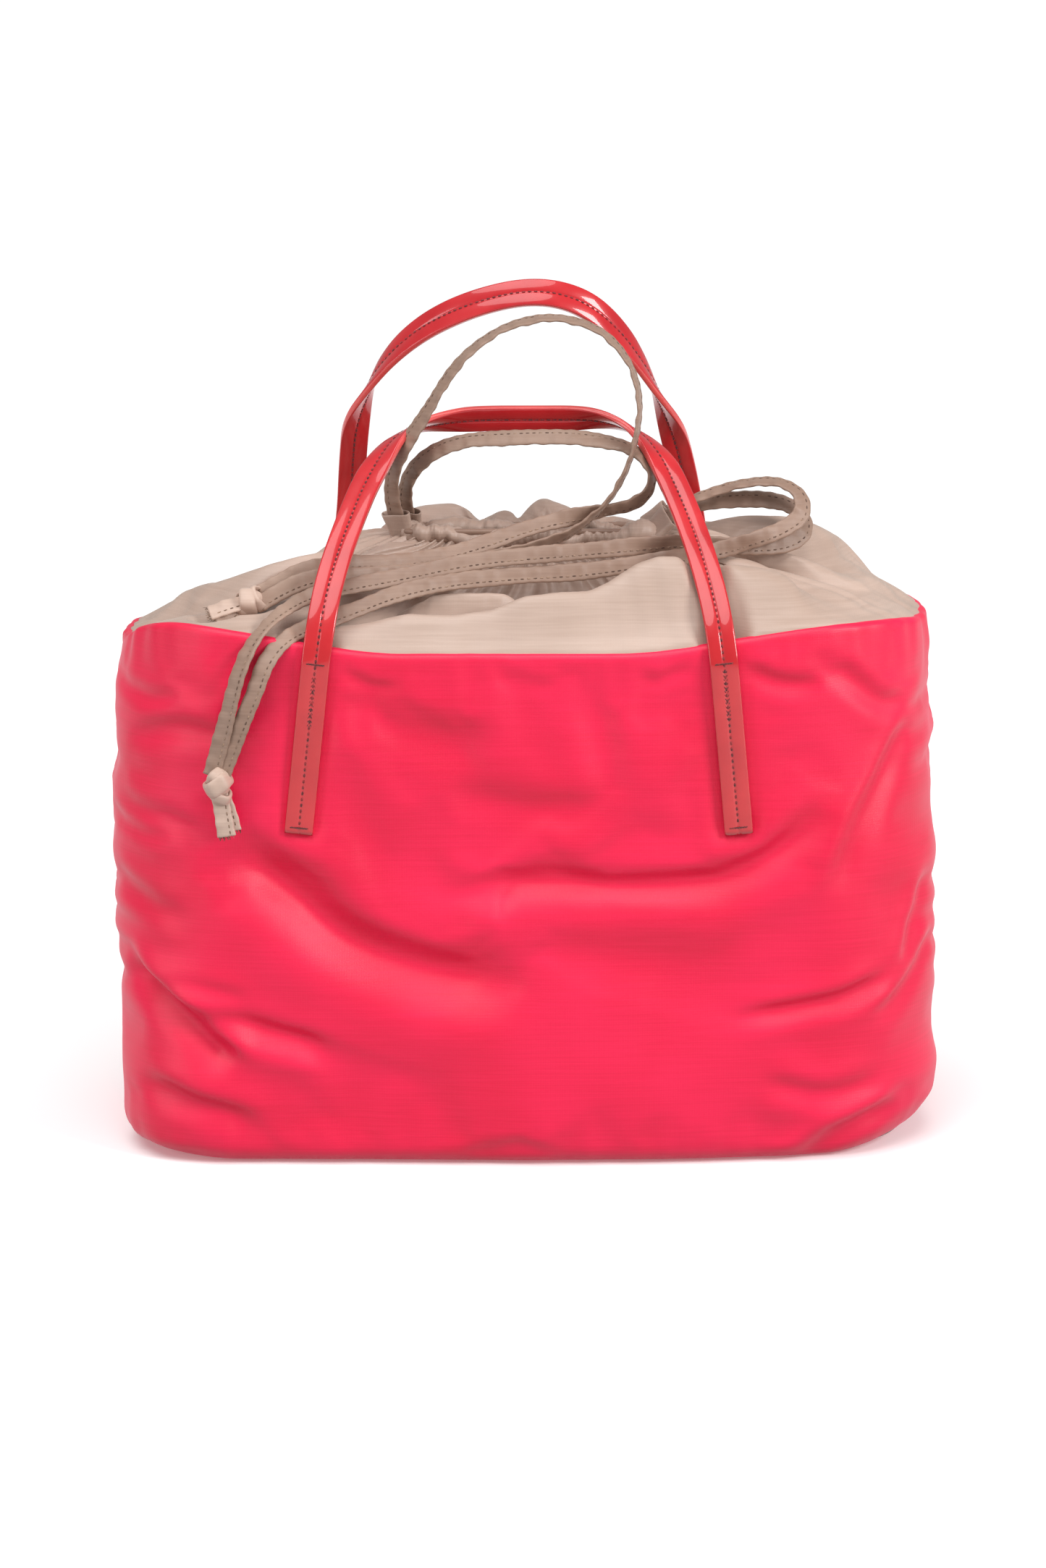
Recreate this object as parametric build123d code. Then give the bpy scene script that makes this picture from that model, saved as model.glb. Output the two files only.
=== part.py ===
"""Foldable tote bag: a padded nylon body, a drawstring collar sewn inside its rim, and two strap handles.

Millimetres, +Z up, front towards -Y. The origin is the middle of the face that the bag stands on.
Each sub-part is one STEP file in parts/, named after its node.
"""
from build123d import *
import math
import os

# Body
BODY_LENGTH = 400.0
BODY_DEPTH = 170.0
RIM_HEIGHT = 250.0
CORNER_RADIUS = 58.0
SKIN = 1.0
WADDING = 5.0
LINING = 0.8
BASE_WADDING = 4.0
BOARD = 2.0
BOARD_INSET = 14.0

# Collar: outlines of its outer face as (height, length, depth, corner radius, centre x, centre y)
MOUTH_CENTRE = (6.0, 12.0)
HEM_HEIGHT = 291.0
HEM_RADIUS = 5.0
HEM_BORE = 3.8
HEM_TURN = 9.0
HEM_STRAIGHT = 110.0
COLLAR_THICKNESS = 1.8
COLLAR_STATIONS = (
    (RIM_HEIGHT, 394.0, 164.0, 55.0, 0.0, 0.0),
    (260.0, 330.0, 124.0, 52.0, 0.0, 0.0),
    (274.0, 230.0, 76.0, 36.0, 2.0, 4.0),
    (285.0, 158.0, 36.0, 17.0, *MOUTH_CENTRE),
    (HEM_HEIGHT, HEM_STRAIGHT + 2 * HEM_TURN, 2 * HEM_TURN, 8.9, *MOUTH_CENTRE),
)

# Handles
STRAP_WIDTH = 13.5
STRAP_THICKNESS = 3.5
TAB_LENGTH = 84.0
TAB_TOP = 248.0
TAB_SPLAY = 4.6
HANDLE_GAP = 1.2
STRAP_CLEARANCE = 1.0
FRONT_TAB_X = 97.5
BACK_TAB_X = 90.0
STRAP_SECTIONS = 36
PATCH_LENGTH = 70.0
PATCH_WIDTH = 30.0
PATCH_THICKNESS = 0.8
TACK_THREAD = 0.7

# Drawstrings
CORD = 3.0
CORD_IN_HEM = 3.2
CORD_EXIT_HEIGHT = 295.6
TAPE_WIDTH = 9.0
TAPE_THICKNESS = 1.6
KNOT_RADIUS = 5.5

panel_face = BODY_DEPTH / 2
tab_middle = panel_face + STRAP_THICKNESS / 2
tab_face = panel_face + STRAP_THICKNESS
strap_start = TAB_TOP + HANDLE_GAP
strap_middle = tab_middle + STRAP_CLEARANCE

# Routes of the four free tapes, from the hem to the knot that ties each pair
LEFT_LONG = [
    (-58, 7.5, CORD_EXIT_HEIGHT), (-63, 4, 310), (-59, -5, 330), (-45, -11.5, 352), (-30, -12, 378),
    (-8, -10, 395), (19, -10, 400.5), (44, -12, 391.5), (58, -14, 369), (57.5, -15, 343),
    (48, -16, 316), (29, -19, 297.5), (6, -24, 289), (-20, -31, 285), (-46, -39, 281),
    (-70, -47, 280.5), (-92, -54, 282), (-109, -58, 278), (-122.5, -58.8, 269.3),
]
LEFT_SHORT = [
    (-54, 20, CORD_EXIT_HEIGHT), (-57, 13, 309), (-50, 6, 326), (-31, -1, 338), (-4, -4, 340),
    (24, -6, 341), (44, -8, 338.5), (57, -10, 334.5), (64, -11, 326.5), (64, -12, 316.5),
    (56.5, -12.5, 309), (42, -13, 306), (24, -14.5, 303), (3, -18, 298), (-17, -24, 291.5),
    (-39, -31, 286.5), (-61, -38, 285), (-83, -46, 286.5), (-103, -51, 284.5), (-115, -53, 277.5),
    (-122.5, -54.5, 273.5),
]
RIGHT_FRONT = [
    (68.5, 7, CORD_EXIT_HEIGHT), (76, 6, 304), (90, 4, 311), (107, 0, 317), (124, -4, 319.5),
    (136, -9, 314), (137, -15, 304.5), (127, -21, 298), (111, -26, 293.5), (95, -31, 289.5),
    (76, -35, 287), (54, -38, 284), (28, -41, 281), (-1, -43, 280), (-29, -48, 278.5),
    (-55, -56, 275), (-78, -66, 267.5), (-97, -73.5, 262), (-110, -83, 257.5), (-119, -91.5, 248),
    (-124, -95, 233), (-133, -95.5, 212.5), (-139.8, -94, 193.8),
]
RIGHT_BACK = [
    (67.5, 18, CORD_EXIT_HEIGHT), (77, 15, 303), (93, 9, 306.5), (111, 4, 309), (128, 1, 308),
    (138, -4, 302), (138, -11, 294.5), (129, -17, 290), (115, -21, 289.5), (98, -25, 291),
    (79, -30, 294), (55, -35, 292.5), (28, -38, 290.5), (1, -41, 289), (-26, -44, 286.5),
    (-52, -49, 281.5), (-75, -55, 278), (-97, -62, 275), (-111, -73, 269), (-122, -85, 261),
    (-130, -94, 248), (-135, -95, 230), (-140, -95, 210), (-144.8, -94, 193.8),
]
LEFT_KNOT = (-127, -57, 270.5)
RIGHT_KNOT = (-141.5, -94, 189)

# Centre lines of the two strap arches, from the left tab to the right tab
FRONT_ARCH = [
    (-FRONT_TAB_X, -strap_middle, strap_start), (-97.5, -85.5, 264), (-93, -70, 284), (-85, -46, 305),
    (-74, -20, 326), (-56, 4, 344), (-26, 11, 347), (14, 11, 347), (48, 9, 347.5), (68, -7, 334),
    (82, -32, 311), (91, -60, 289), (97, -84, 266), (FRONT_TAB_X, -strap_middle, strap_start),
]
BACK_ARCH = [
    (-BACK_TAB_X, strap_middle, strap_start), (-88, 85.5, 264), (-84, 76, 288), (-82.5, 66, 315),
    (-80, 55, 342), (-69, 44, 366), (-50, 37, 386), (-24, 30, 400), (6, 26, 407.5), (30, 28, 402.5),
    (48, 33, 387), (62, 40, 366), (73, 50, 343), (80, 62, 318), (85, 74, 292), (89, 85.5, 265),
    (BACK_TAB_X, strap_middle, strap_start),
]
# Which way the strap's outer face looks, by how far along half the arch it is: each leg turns over
# once at its corner, as a flat strap does when it bends from a panel to the grip
FRONT_FACING = (
    (0.0, (0, -1, 0)), (0.25, (0, -0.8, 0.6)), (0.55, (-0.1, -0.7, 0.7)),
    (0.75, (-0.75, 0.1, 0.65)), (0.88, (0, 0.9, 0.44)), (1.0, (0, 0.9, 0.44)),
)
BACK_FACING = (
    (0.0, (0, 1, 0)), (0.4, (-0.1, 1, 0.1)), (0.6, (-1, 0, 0.1)),
    (0.72, (-0.6, -0.6, 0.5)), (0.85, (0, -0.85, 0.52)), (1.0, (0, -0.85, 0.52)),
)

nodes = {}


def outline(inset, radius_floor=2.0):
    """The body's plan outline, moved in by inset."""
    radius = max(CORNER_RADIUS - inset, radius_floor)
    return RectangleRounded(BODY_LENGTH - 2 * inset, BODY_DEPTH - 2 * inset, radius)


def slab(inset, low, high):
    return extrude(Pos(0, 0, low) * outline(inset), high - low)


def wall(outer_inset, inner_inset, low, high):
    return slab(outer_inset, low, high) - slab(inner_inset, low - 1, high + 1)


def halves(shape, plane):
    """The front and the back part of a shape that a plane cuts."""
    return split(shape, bisect_by=plane, keep=Keep.TOP), split(shape, bisect_by=plane, keep=Keep.BOTTOM)


side_plane = Plane(origin=(0, 0, 0), x_dir=(1, 0, 0), z_dir=(0, -1, 0))
collar_rise = HEM_HEIGHT - RIM_HEIGHT
seam_plane = Plane(
    origin=(0, 0, RIM_HEIGHT), x_dir=(1, 0, 0), z_dir=(0, -collar_rise, MOUTH_CENTRE[1])
)


def make_base():
    """The base as it is layered from the ground up: panel, wadding, stiffener and lining."""
    board_bottom = SKIN + BASE_WADDING
    board_top = board_bottom + BOARD
    nodes["base_panel"] = slab(SKIN, 0, SKIN)
    nodes["base_wadding"] = slab(SKIN, SKIN, board_bottom)
    nodes["base_board"] = slab(BOARD_INSET, board_bottom, board_top)
    nodes["lining_base"] = slab(SKIN + WADDING, board_top, board_top + LINING)
    return board_bottom, board_top + LINING


def patch_pockets(side, tab_x):
    """Space of the reinforcement patches that the tabs are sewn through to."""
    face = panel_face - SKIN - WADDING
    pockets = []
    for x in (-tab_x, tab_x):
        middle = side * (face + PATCH_THICKNESS / 2)
        low = TAB_TOP - PATCH_LENGTH / 2
        pockets.append(Pos(x, middle, low) * Box(PATCH_WIDTH, PATCH_THICKNESS, PATCH_LENGTH))
    return pockets


def make_walls(wadding_bottom, lining_bottom):
    rim_fold = RIM_HEIGHT - SKIN
    skin = wall(0, SKIN, 0, rim_fold) + wall(0, SKIN + WADDING, rim_fold, RIM_HEIGHT)
    pad = wall(SKIN, SKIN + WADDING, wadding_bottom, rim_fold)
    inner = SKIN + WADDING
    cloth = wall(inner, inner + LINING, lining_bottom, RIM_HEIGHT)
    nodes["front_panel"], nodes["back_panel"] = halves(skin, side_plane)
    front_pad, back_pad = halves(pad, side_plane)
    nodes["lining_front"], nodes["lining_back"] = halves(cloth, side_plane)
    front_patches = patch_pockets(-1, FRONT_TAB_X)
    back_patches = patch_pockets(1, BACK_TAB_X)
    for patch in front_patches:
        front_pad = front_pad - patch
    for patch in back_patches:
        back_pad = back_pad - patch
    nodes["front_wadding"] = front_pad
    nodes["back_wadding"] = back_pad
    nodes["front_reinforcement_patches"] = Compound(children=front_patches)
    nodes["back_reinforcement_patches"] = Compound(children=back_patches)


def hem_tube(radius, height):
    """A closed tube along the drawn-in mouth."""
    centre_x, centre_y = MOUTH_CENTRE
    side = Pos(centre_x, centre_y, height) * Rot(0, 90, 0) * Cylinder(radius, HEM_STRAIGHT)
    end = Pos(centre_x, centre_y, height) * Torus(HEM_TURN, radius)
    keep_right = Plane(
        origin=(centre_x, centre_y, height), x_dir=(0, 1, 0), z_dir=(1, 0, 0)
    )
    half_straight = HEM_STRAIGHT / 2
    right = Pos(half_straight, 0, 0) * split(end, bisect_by=keep_right, keep=Keep.TOP)
    left = Pos(-half_straight, 0, 0) * split(end, bisect_by=keep_right, keep=Keep.BOTTOM)
    return Pos(0, -HEM_TURN, 0) * side + Pos(0, HEM_TURN, 0) * side + right + left


def collar_loft(inset, drop):
    sections = []
    for height, length, depth, radius, x, y in COLLAR_STATIONS:
        plan = RectangleRounded(length - 2 * inset, depth - 2 * inset, radius - inset)
        sections.append(Pos(x, y, height - drop) * plan)
    return loft(sections, ruled=True)


def make_collar():
    """The gathered collar, its hem, and the parts of both drawstrings that run inside the hem."""
    centre_x, centre_y = MOUTH_CENTRE
    outer_hem = hem_tube(HEM_RADIUS, HEM_HEIGHT)
    mouth = extrude(
        Pos(centre_x, centre_y, HEM_HEIGHT - 8)
        * RectangleRounded(HEM_STRAIGHT + HEM_TURN, 2 * HEM_TURN - 3, HEM_TURN - 2),
        20,
    )
    sheet = collar_loft(0, 0) - collar_loft(1.2, COLLAR_THICKNESS) - mouth - outer_hem
    nodes["collar_front"], nodes["collar_back"] = halves(sheet, seam_plane)
    channel = outer_hem - hem_tube(HEM_BORE, HEM_HEIGHT)
    nodes["hem_front"], nodes["hem_back"] = halves(channel, seam_plane)
    rise = CORD_IN_HEM / 2 + 0.15
    nodes["left_drawstring_in_hem"] = hem_tube(CORD_IN_HEM / 2, HEM_HEIGHT + rise)
    nodes["right_drawstring_in_hem"] = hem_tube(CORD_IN_HEM / 2, HEM_HEIGHT - rise)


def rounded_line(points):
    """Straight runs joined by arcs as large as the runs allow, and the arcs' radii."""
    corners = [Vector(*point) for point in points]
    radii = []
    for before, corner, after in zip(corners, corners[1:], corners[2:]):
        turn = math.radians((corner - before).get_angle(after - corner))
        shorter = min((corner - before).length, (after - corner).length)
        radii.append(0.45 * shorter / math.tan(turn / 2))
    return FilletPolyline(*corners, radius=radii), radii


def make_tape(name, route):
    line, radii = rounded_line(route)
    start = Plane(origin=line @ 0, z_dir=line % 0)
    tube = sweep(start * Circle(CORD / 2), path=line)
    expected = math.pi * (CORD / 2) ** 2 * line.length
    print(f"{name}: length {line.length:.1f}, volume {tube.volume / expected:.4f} of section x length,")
    print("   radii " + " ".join(f"{radius:.0f}" for radius in radii))
    nodes[name] = tube


def make_knot(name, centre, lengthways, tail_tilts, tail_length):
    """An overhand knot in two tapes, and the cut tails that come out of it."""
    axis = Vector(*lengthways).normalized()
    frame = Plane(origin=centre, z_dir=axis)
    core = frame * Cylinder(KNOT_RADIUS, 2 * KNOT_RADIUS)
    wrap = frame * Torus(KNOT_RADIUS, 2.6)
    knot = core + wrap
    tails = []
    for tilt, offset in tail_tilts:
        tape = Pos(0, offset, KNOT_RADIUS + tail_length / 2) * Box(TAPE_WIDTH, TAPE_THICKNESS, tail_length)
        tails.append(frame * (Rot(tilt, 0, 0) * tape) - knot)
    nodes[name + "_knot"] = knot
    nodes[name + "_tails"] = Compound(children=tails)


def facing_at(along, table, mirrored):
    """The outer face's direction at a fraction of half the arch."""
    for (start, low), (end, high) in zip(table, table[1:]):
        if along <= end:
            share = (along - start) / (end - start)
            mixed = Vector(*low) * (1 - share) + Vector(*high) * share
            break
    return Vector(-mixed.X, mixed.Y, mixed.Z) if mirrored else mixed


def make_strap(name, route, facing):
    """A flat strap along an arch, turned over at both corners."""
    line, radii = rounded_line(route)
    sections = []
    for index in range(STRAP_SECTIONS + 1):
        share = index / STRAP_SECTIONS
        from_end = 2 * min(share, 1 - share)
        along = (line % share).normalized()
        rough = facing_at(from_end, facing, share > 0.5)
        normal = (rough - along * rough.dot(along)).normalized()
        frame = Plane(origin=line @ share, x_dir=along.cross(normal), z_dir=along)
        sections.append(frame * Rectangle(STRAP_WIDTH, STRAP_THICKNESS))
    nodes[name] = loft(sections, ruled=True)
    print(f"{name}: free length {line.length:.1f}")


def make_tabs(side, tab_x, front_or_back):
    """The sewn-down ends of one strap, with the bar tacks at their ends."""
    tacks = []
    for direction, word in ((-1, "left"), (1, "right")):
        lean = Rot(0, -direction * TAB_SPLAY, 0)
        middle = side * tab_middle
        top = Pos(direction * tab_x, middle, TAB_TOP)
        plate = top * lean * Pos(0, 0, -TAB_LENGTH / 2) * Box(STRAP_WIDTH, STRAP_THICKNESS, TAB_LENGTH)
        ceiling = Pos(direction * tab_x, middle, TAB_TOP + 5) * Box(60, 10, 10)
        nodes[f"{front_or_back}_{word}_tab"] = plate - ceiling
        face = side * (tab_face + TACK_THREAD / 2)
        on_face = Pos(direction * tab_x, face, TAB_TOP) * lean
        for height, upright in ((-4, 7), (4 - TAB_LENGTH, 3)):
            bar = Box(9, TACK_THREAD, TACK_THREAD) + Box(TACK_THREAD, TACK_THREAD, upright)
            tacks.append(on_face * Pos(0, 0, height) * bar)
    nodes[front_or_back + "_bar_tacks"] = Compound(children=tacks)


wadding_bottom, lining_bottom = make_base()
make_walls(wadding_bottom, lining_bottom)
make_collar()
make_tape("left_drawstring_long_loop", LEFT_LONG)
make_tape("left_drawstring_short_loop", LEFT_SHORT)
make_tape("right_drawstring_front_run", RIGHT_FRONT)
make_tape("right_drawstring_back_run", RIGHT_BACK)
make_knot("left_drawstring", LEFT_KNOT, (-1, -0.1, -0.25), ((-7, -2.5), (7, 2.5)), 14)
make_knot("right_drawstring", RIGHT_KNOT, (0.15, 0.0, -1), ((-2, -1.2), (2, 1.2)), 20)
make_tabs(-1, FRONT_TAB_X, "front")
make_tabs(1, BACK_TAB_X, "back")
make_strap("front_handle_strap", FRONT_ARCH, FRONT_FACING)
make_strap("back_handle_strap", BACK_ARCH, BACK_FACING)

os.makedirs("parts", exist_ok=True)
for name, shape in nodes.items():
    export_step(shape, f"parts/{name}.step")
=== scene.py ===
import math

import bpy
import numpy as np
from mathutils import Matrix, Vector


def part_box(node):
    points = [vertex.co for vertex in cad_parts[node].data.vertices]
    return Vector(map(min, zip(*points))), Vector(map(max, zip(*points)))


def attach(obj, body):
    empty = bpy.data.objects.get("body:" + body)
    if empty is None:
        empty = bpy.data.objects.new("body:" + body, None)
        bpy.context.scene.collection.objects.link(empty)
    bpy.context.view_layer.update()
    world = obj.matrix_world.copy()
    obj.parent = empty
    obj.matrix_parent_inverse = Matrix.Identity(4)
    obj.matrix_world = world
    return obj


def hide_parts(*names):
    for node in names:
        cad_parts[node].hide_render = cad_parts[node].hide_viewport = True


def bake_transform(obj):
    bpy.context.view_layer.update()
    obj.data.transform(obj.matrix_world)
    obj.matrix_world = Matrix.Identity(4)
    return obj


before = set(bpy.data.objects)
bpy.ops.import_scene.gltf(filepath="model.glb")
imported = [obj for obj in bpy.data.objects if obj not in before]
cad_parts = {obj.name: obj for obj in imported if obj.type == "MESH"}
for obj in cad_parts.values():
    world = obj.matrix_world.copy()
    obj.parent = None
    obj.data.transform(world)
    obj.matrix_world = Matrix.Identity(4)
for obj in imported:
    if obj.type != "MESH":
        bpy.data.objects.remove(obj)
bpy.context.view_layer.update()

# The body, the collar and the handles' arches are worked out in millimetres and scaled by MM.
# The camera, the lights, the tapes, the knots, the strap's section and the stitches are in metres.
MM = 0.001

# ---------------------------------------------------------------- sizes taken from the frame
SHELL_LOW, SHELL_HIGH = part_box("front_panel")
HALF_DEPTH = -SHELL_LOW.y / MM
HALF_LENGTH = SHELL_HIGH.x / MM
SHELL_HEIGHT = SHELL_HIGH.z / MM
HEM_LOW, HEM_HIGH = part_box("hem_front")
HEM_CENTRE = ((HEM_LOW.x + HEM_HIGH.x) / 2 / MM, 12.0)
HEM_HEIGHT = (HEM_LOW.z + HEM_HIGH.z) / 2 / MM
HEM_TURN = 9.0
HEM_HALF_LENGTH = 64.0
CORNER_RADIUS = 58.0

# ---------------------------------------------------------------- camera
CAMERA_TARGET = Vector((0.002, 0.0, 0.168))
CAMERA_DISTANCE = 2.6
CAMERA_ELEVATION = math.radians(13.0)
CAMERA_LENS = 122.0


def add_camera():
    """A long lens, straight in front of the bag and a little above it."""
    data = bpy.data.cameras.new("camera")
    data.lens = CAMERA_LENS
    data.sensor_width = 36.0
    camera = bpy.data.objects.new("camera", data)
    bpy.context.scene.collection.objects.link(camera)
    back = Vector((0.0, -math.cos(CAMERA_ELEVATION), math.sin(CAMERA_ELEVATION)))
    camera.location = CAMERA_TARGET + back * CAMERA_DISTANCE
    camera.rotation_mode = "QUATERNION"
    camera.rotation_quaternion = (-back).to_track_quat("-Z", "Y")
    bpy.context.scene.camera = camera


add_camera()


# ---------------------------------------------------------------- materials
def srgb(red, green, blue):
    """A colour given as 0-255 screen values, as the linear values that a shader takes."""
    linear = []
    for value in (red, green, blue):
        share = value / 255
        linear.append(share / 12.92 if share <= 0.04045 else ((share + 0.055) / 1.055) ** 2.4)
    return (*linear, 1.0)


class Shader:
    """A principled material that is built up from small groups of nodes."""

    def __init__(self, name, **sockets):
        self.material = bpy.data.materials.new(name)
        self.material.use_nodes = True
        self.nodes = self.material.node_tree.nodes
        self.links = self.material.node_tree.links
        self.surface = self.nodes["Principled BSDF"]
        for socket, value in sockets.items():
            self.surface.inputs[socket.replace("_", " ")].default_value = value
        self.place = self.nodes.new("ShaderNodeTexCoord").outputs["Object"]
        self.height = None

    def noise(self, scale, detail, stretch=(1, 1, 1)):
        """Noise of that many cells a metre, stretched along the axes. Returns its value, 0 to 1."""
        mapping = self.nodes.new("ShaderNodeMapping")
        mapping.inputs["Scale"].default_value = stretch
        self.links.new(self.place, mapping.inputs["Vector"])
        texture = self.nodes.new("ShaderNodeTexNoise")
        texture.inputs["Scale"].default_value = scale
        texture.inputs["Detail"].default_value = detail
        self.links.new(mapping.outputs["Vector"], texture.inputs["Vector"])
        return texture.outputs["Fac"]

    def threads(self, axis, pitch):
        """Parallel threads a pitch apart, in metres, counted along an axis. Returns 0 to 1."""
        texture = self.nodes.new("ShaderNodeTexWave")
        texture.bands_direction = axis
        texture.inputs["Scale"].default_value = math.pi / 10 / pitch
        texture.inputs["Distortion"].default_value = 0.6
        texture.inputs["Detail"].default_value = 1.0
        texture.inputs["Detail Scale"].default_value = 3.0
        self.links.new(self.place, texture.inputs["Vector"])
        return texture.outputs["Fac"]

    def combine(self, operation, first, second):
        """The sum or product of two values, each a socket or a number."""
        node = self.nodes.new("ShaderNodeMath")
        node.operation = operation
        for socket, value in zip(node.inputs, (first, second)):
            if isinstance(value, (int, float)):
                socket.default_value = value
            else:
                self.links.new(value, socket)
        return node.outputs[0]

    def colours(self, factor, low, dark, high, light):
        """The base colour runs from dark, where factor is low, to light, where it is high."""
        ramp = self.nodes.new("ShaderNodeValToRGB")
        ramp.color_ramp.elements[0].position = low
        ramp.color_ramp.elements[0].color = dark
        ramp.color_ramp.elements[1].position = high
        ramp.color_ramp.elements[1].color = light
        self.links.new(factor, ramp.inputs["Fac"])
        self.links.new(ramp.outputs["Color"], self.surface.inputs["Base Color"])

    def roughness(self, factor, low, high):
        """The roughness runs from low, where factor is 0, to high, where it is 1."""
        span = self.nodes.new("ShaderNodeMapRange")
        span.inputs["To Min"].default_value = low
        span.inputs["To Max"].default_value = high
        self.links.new(factor, span.inputs["Value"])
        self.links.new(span.outputs["Result"], self.surface.inputs["Roughness"])

    def bump(self, factor, depth, strength):
        """A relief of that depth in metres, on top of the relief so far."""
        node = self.nodes.new("ShaderNodeBump")
        node.inputs["Strength"].default_value = strength
        node.inputs["Distance"].default_value = depth
        self.links.new(factor, node.inputs["Height"])
        if self.height is not None:
            self.links.new(self.height, node.inputs["Normal"])
        self.height = node.outputs["Normal"]
        self.links.new(self.height, self.surface.inputs["Normal"])


def woven(name, dark, light, sheen, roughness, pitch=0.0006, relief=0.00006):
    """Fine plain-weave cloth: crossing threads, stretched slubs, soft patches of colour, sheen.
    sheen is (weight, roughness, tint); pitch and relief of the threads are in metres."""
    shader = Shader(name, Sheen_Weight=sheen[0], Sheen_Roughness=sheen[1], Sheen_Tint=sheen[2])
    patches = shader.noise(14, detail=2.0)
    streaks = shader.noise(30, detail=3.0, stretch=(1, 1, 34))
    faint_streaks = shader.combine("MULTIPLY", streaks, 0.3)
    mixed = shader.combine("ADD", shader.combine("MULTIPLY", patches, 0.7), faint_streaks)
    shader.colours(mixed, 0.36, dark, 0.64, light)
    shader.roughness(patches, *roughness)
    crossing = shader.combine("ADD", shader.threads("X", pitch), shader.threads("Z", pitch))
    shader.bump(crossing, depth=relief, strength=0.4)
    shader.bump(streaks, depth=relief, strength=0.3)
    shader.bump(shader.noise(130, detail=2.0), depth=0.0003, strength=0.25)
    return shader.material


def patent(name, dark, light, roughness):
    """Glossy coated leather: a clear coat over a softly mottled, faintly uneven skin."""
    shader = Shader(name, Coat_Weight=0.8, Coat_Roughness=0.04, Coat_IOR=1.5, Specular_IOR_Level=0.3)
    mottle = shader.noise(55, detail=4.0)
    shader.colours(mottle, 0.3, dark, 0.7, light)
    shader.roughness(mottle, *roughness)
    shader.bump(shader.noise(240, detail=2.0), depth=0.00012, strength=0.35)
    shader.bump(shader.noise(60, detail=1.0), depth=0.0006, strength=0.25)
    return shader.material


def thread(name, dark, light):
    """Spun sewing thread, with the twist as fine relief."""
    shader = Shader(name, Sheen_Weight=0.3)
    fuzz = shader.noise(1500, detail=2.0)
    # Each stitch comes out lighter or darker at random: partly the thread's own tone, partly painted glints.
    shader.colours(shader.noise(330, detail=1.0), 0.42, dark, 0.62, light)
    shader.roughness(fuzz, 0.55, 0.8)
    shader.bump(fuzz, depth=0.0001, strength=0.6)
    return shader.material


PINK_SHEEN = srgb(255, 150, 170)
WHITE = (1, 1, 1, 1)
FINE_TAPE = dict(roughness=(0.36, 0.5), pitch=0.0004, relief=0.00005)

PINK = woven("pink_nylon", srgb(228, 10, 62), srgb(243, 22, 76),
             sheen=(0.25, 0.4, PINK_SHEEN), roughness=(0.38, 0.5))
LINING = woven("pink_lining", srgb(205, 30, 70), srgb(225, 45, 85),
               sheen=(0.2, 0.5, PINK_SHEEN), roughness=(0.5, 0.65))
BEIGE = woven("beige_nylon", srgb(174, 148, 133), srgb(195, 170, 156),
              sheen=(0.3, 0.4, srgb(255, 240, 225)), roughness=(0.34, 0.48))
TAPE = woven("beige_tape", srgb(140, 111, 95), srgb(164, 135, 118),
             sheen=(0.3, 0.4, srgb(255, 236, 220)), **FINE_TAPE)
# The knots and their cut ends take a lighter copy of the tape's colour: painted light, as if they stood
# nearer the lamps.
TAPE_PAINTED_LIGHTER = woven("tape_painted_lighter", srgb(186, 158, 142), srgb(206, 179, 163),
             sheen=(0.3, 0.4, srgb(255, 240, 228)), **FINE_TAPE)
BOARD = woven("grey_board", srgb(120, 116, 110), srgb(140, 136, 130),
              sheen=(0.0, 0.5, WHITE), roughness=(0.7, 0.85), pitch=0.003, relief=0.0002)
STRAP = patent("coral_patent", srgb(190, 22, 32), srgb(208, 36, 43), roughness=(0.24, 0.36))
STRAP_EDGE = patent("coral_edge", srgb(220, 72, 72), srgb(234, 92, 88), roughness=(0.35, 0.5))
RED_THREAD = thread("red_thread", srgb(84, 4, 12), srgb(140, 16, 24))
TAPE_THREAD = thread("tape_thread", srgb(88, 62, 46), srgb(158, 128, 106))


# ---------------------------------------------------------------- mesh helpers
def make_mesh(name, vertices, faces, materials, face_material=None):
    """A smooth-shaded object from vertices in metres."""
    mesh = bpy.data.meshes.new(name)
    mesh.from_pydata(np.asarray(vertices, float).tolist(), [], faces)
    for material in materials:
        mesh.materials.append(material)
    mesh.shade_smooth()
    if face_material is not None:
        mesh.polygons.foreach_set("material_index", np.asarray(face_material, np.int32))
    mesh.validate()
    mesh.update()
    obj = bpy.data.objects.new(name, mesh)
    bpy.context.scene.collection.objects.link(obj)
    return obj


def grid_faces(rows, columns, start=0):
    """Quads between rings of vertices, ring by ring. start is the first vertex's index."""
    faces = []
    for row in range(rows - 1):
        low = start + row * columns
        high = low + columns
        for column in range(columns):
            following = (column + 1) % columns
            faces.append((low + column, low + following, high + following, high + column))
    return faces


def capped_faces(rows, columns, start=0):
    """The same, with a face across the first ring and one across the last."""
    last = start + (rows - 1) * columns
    first_cap = tuple(range(start, start + columns))[::-1]
    last_cap = tuple(range(last, last + columns))
    return grid_faces(rows, columns, start) + [first_cap, last_cap]


def looped_faces(rows, columns):
    """The same, with the last ring joined to the first: a closed loop without ends."""
    last = (rows - 1) * columns
    joint = [(last + i, last + (i + 1) % columns, (i + 1) % columns, i) for i in range(columns)]
    return grid_faces(rows, columns) + joint


def strip_cap(columns):
    """Closes the first ring of vertices with quads that run across it, front to back."""
    faces = []
    for column in range(columns // 2):
        faces.append((column, column + 1, columns - column - 1, (columns - column) % columns))
    return [tuple(dict.fromkeys(face))[::-1] for face in faces if len(set(face)) > 2]


def apply_modifiers(obj):
    """Bakes an object's modifiers into its mesh."""
    graph = bpy.context.evaluated_depsgraph_get()
    mesh = bpy.data.meshes.new_from_object(obj.evaluated_get(graph))
    obj.modifiers.clear()
    obj.data = mesh
    mesh.shade_smooth()


def subdivide(obj):
    """Smooths an object's mesh once, after the modifiers that it has."""
    modifier = obj.modifiers.new("subdivision", "SUBSURF")
    modifier.levels = 1
    apply_modifiers(obj)


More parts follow.
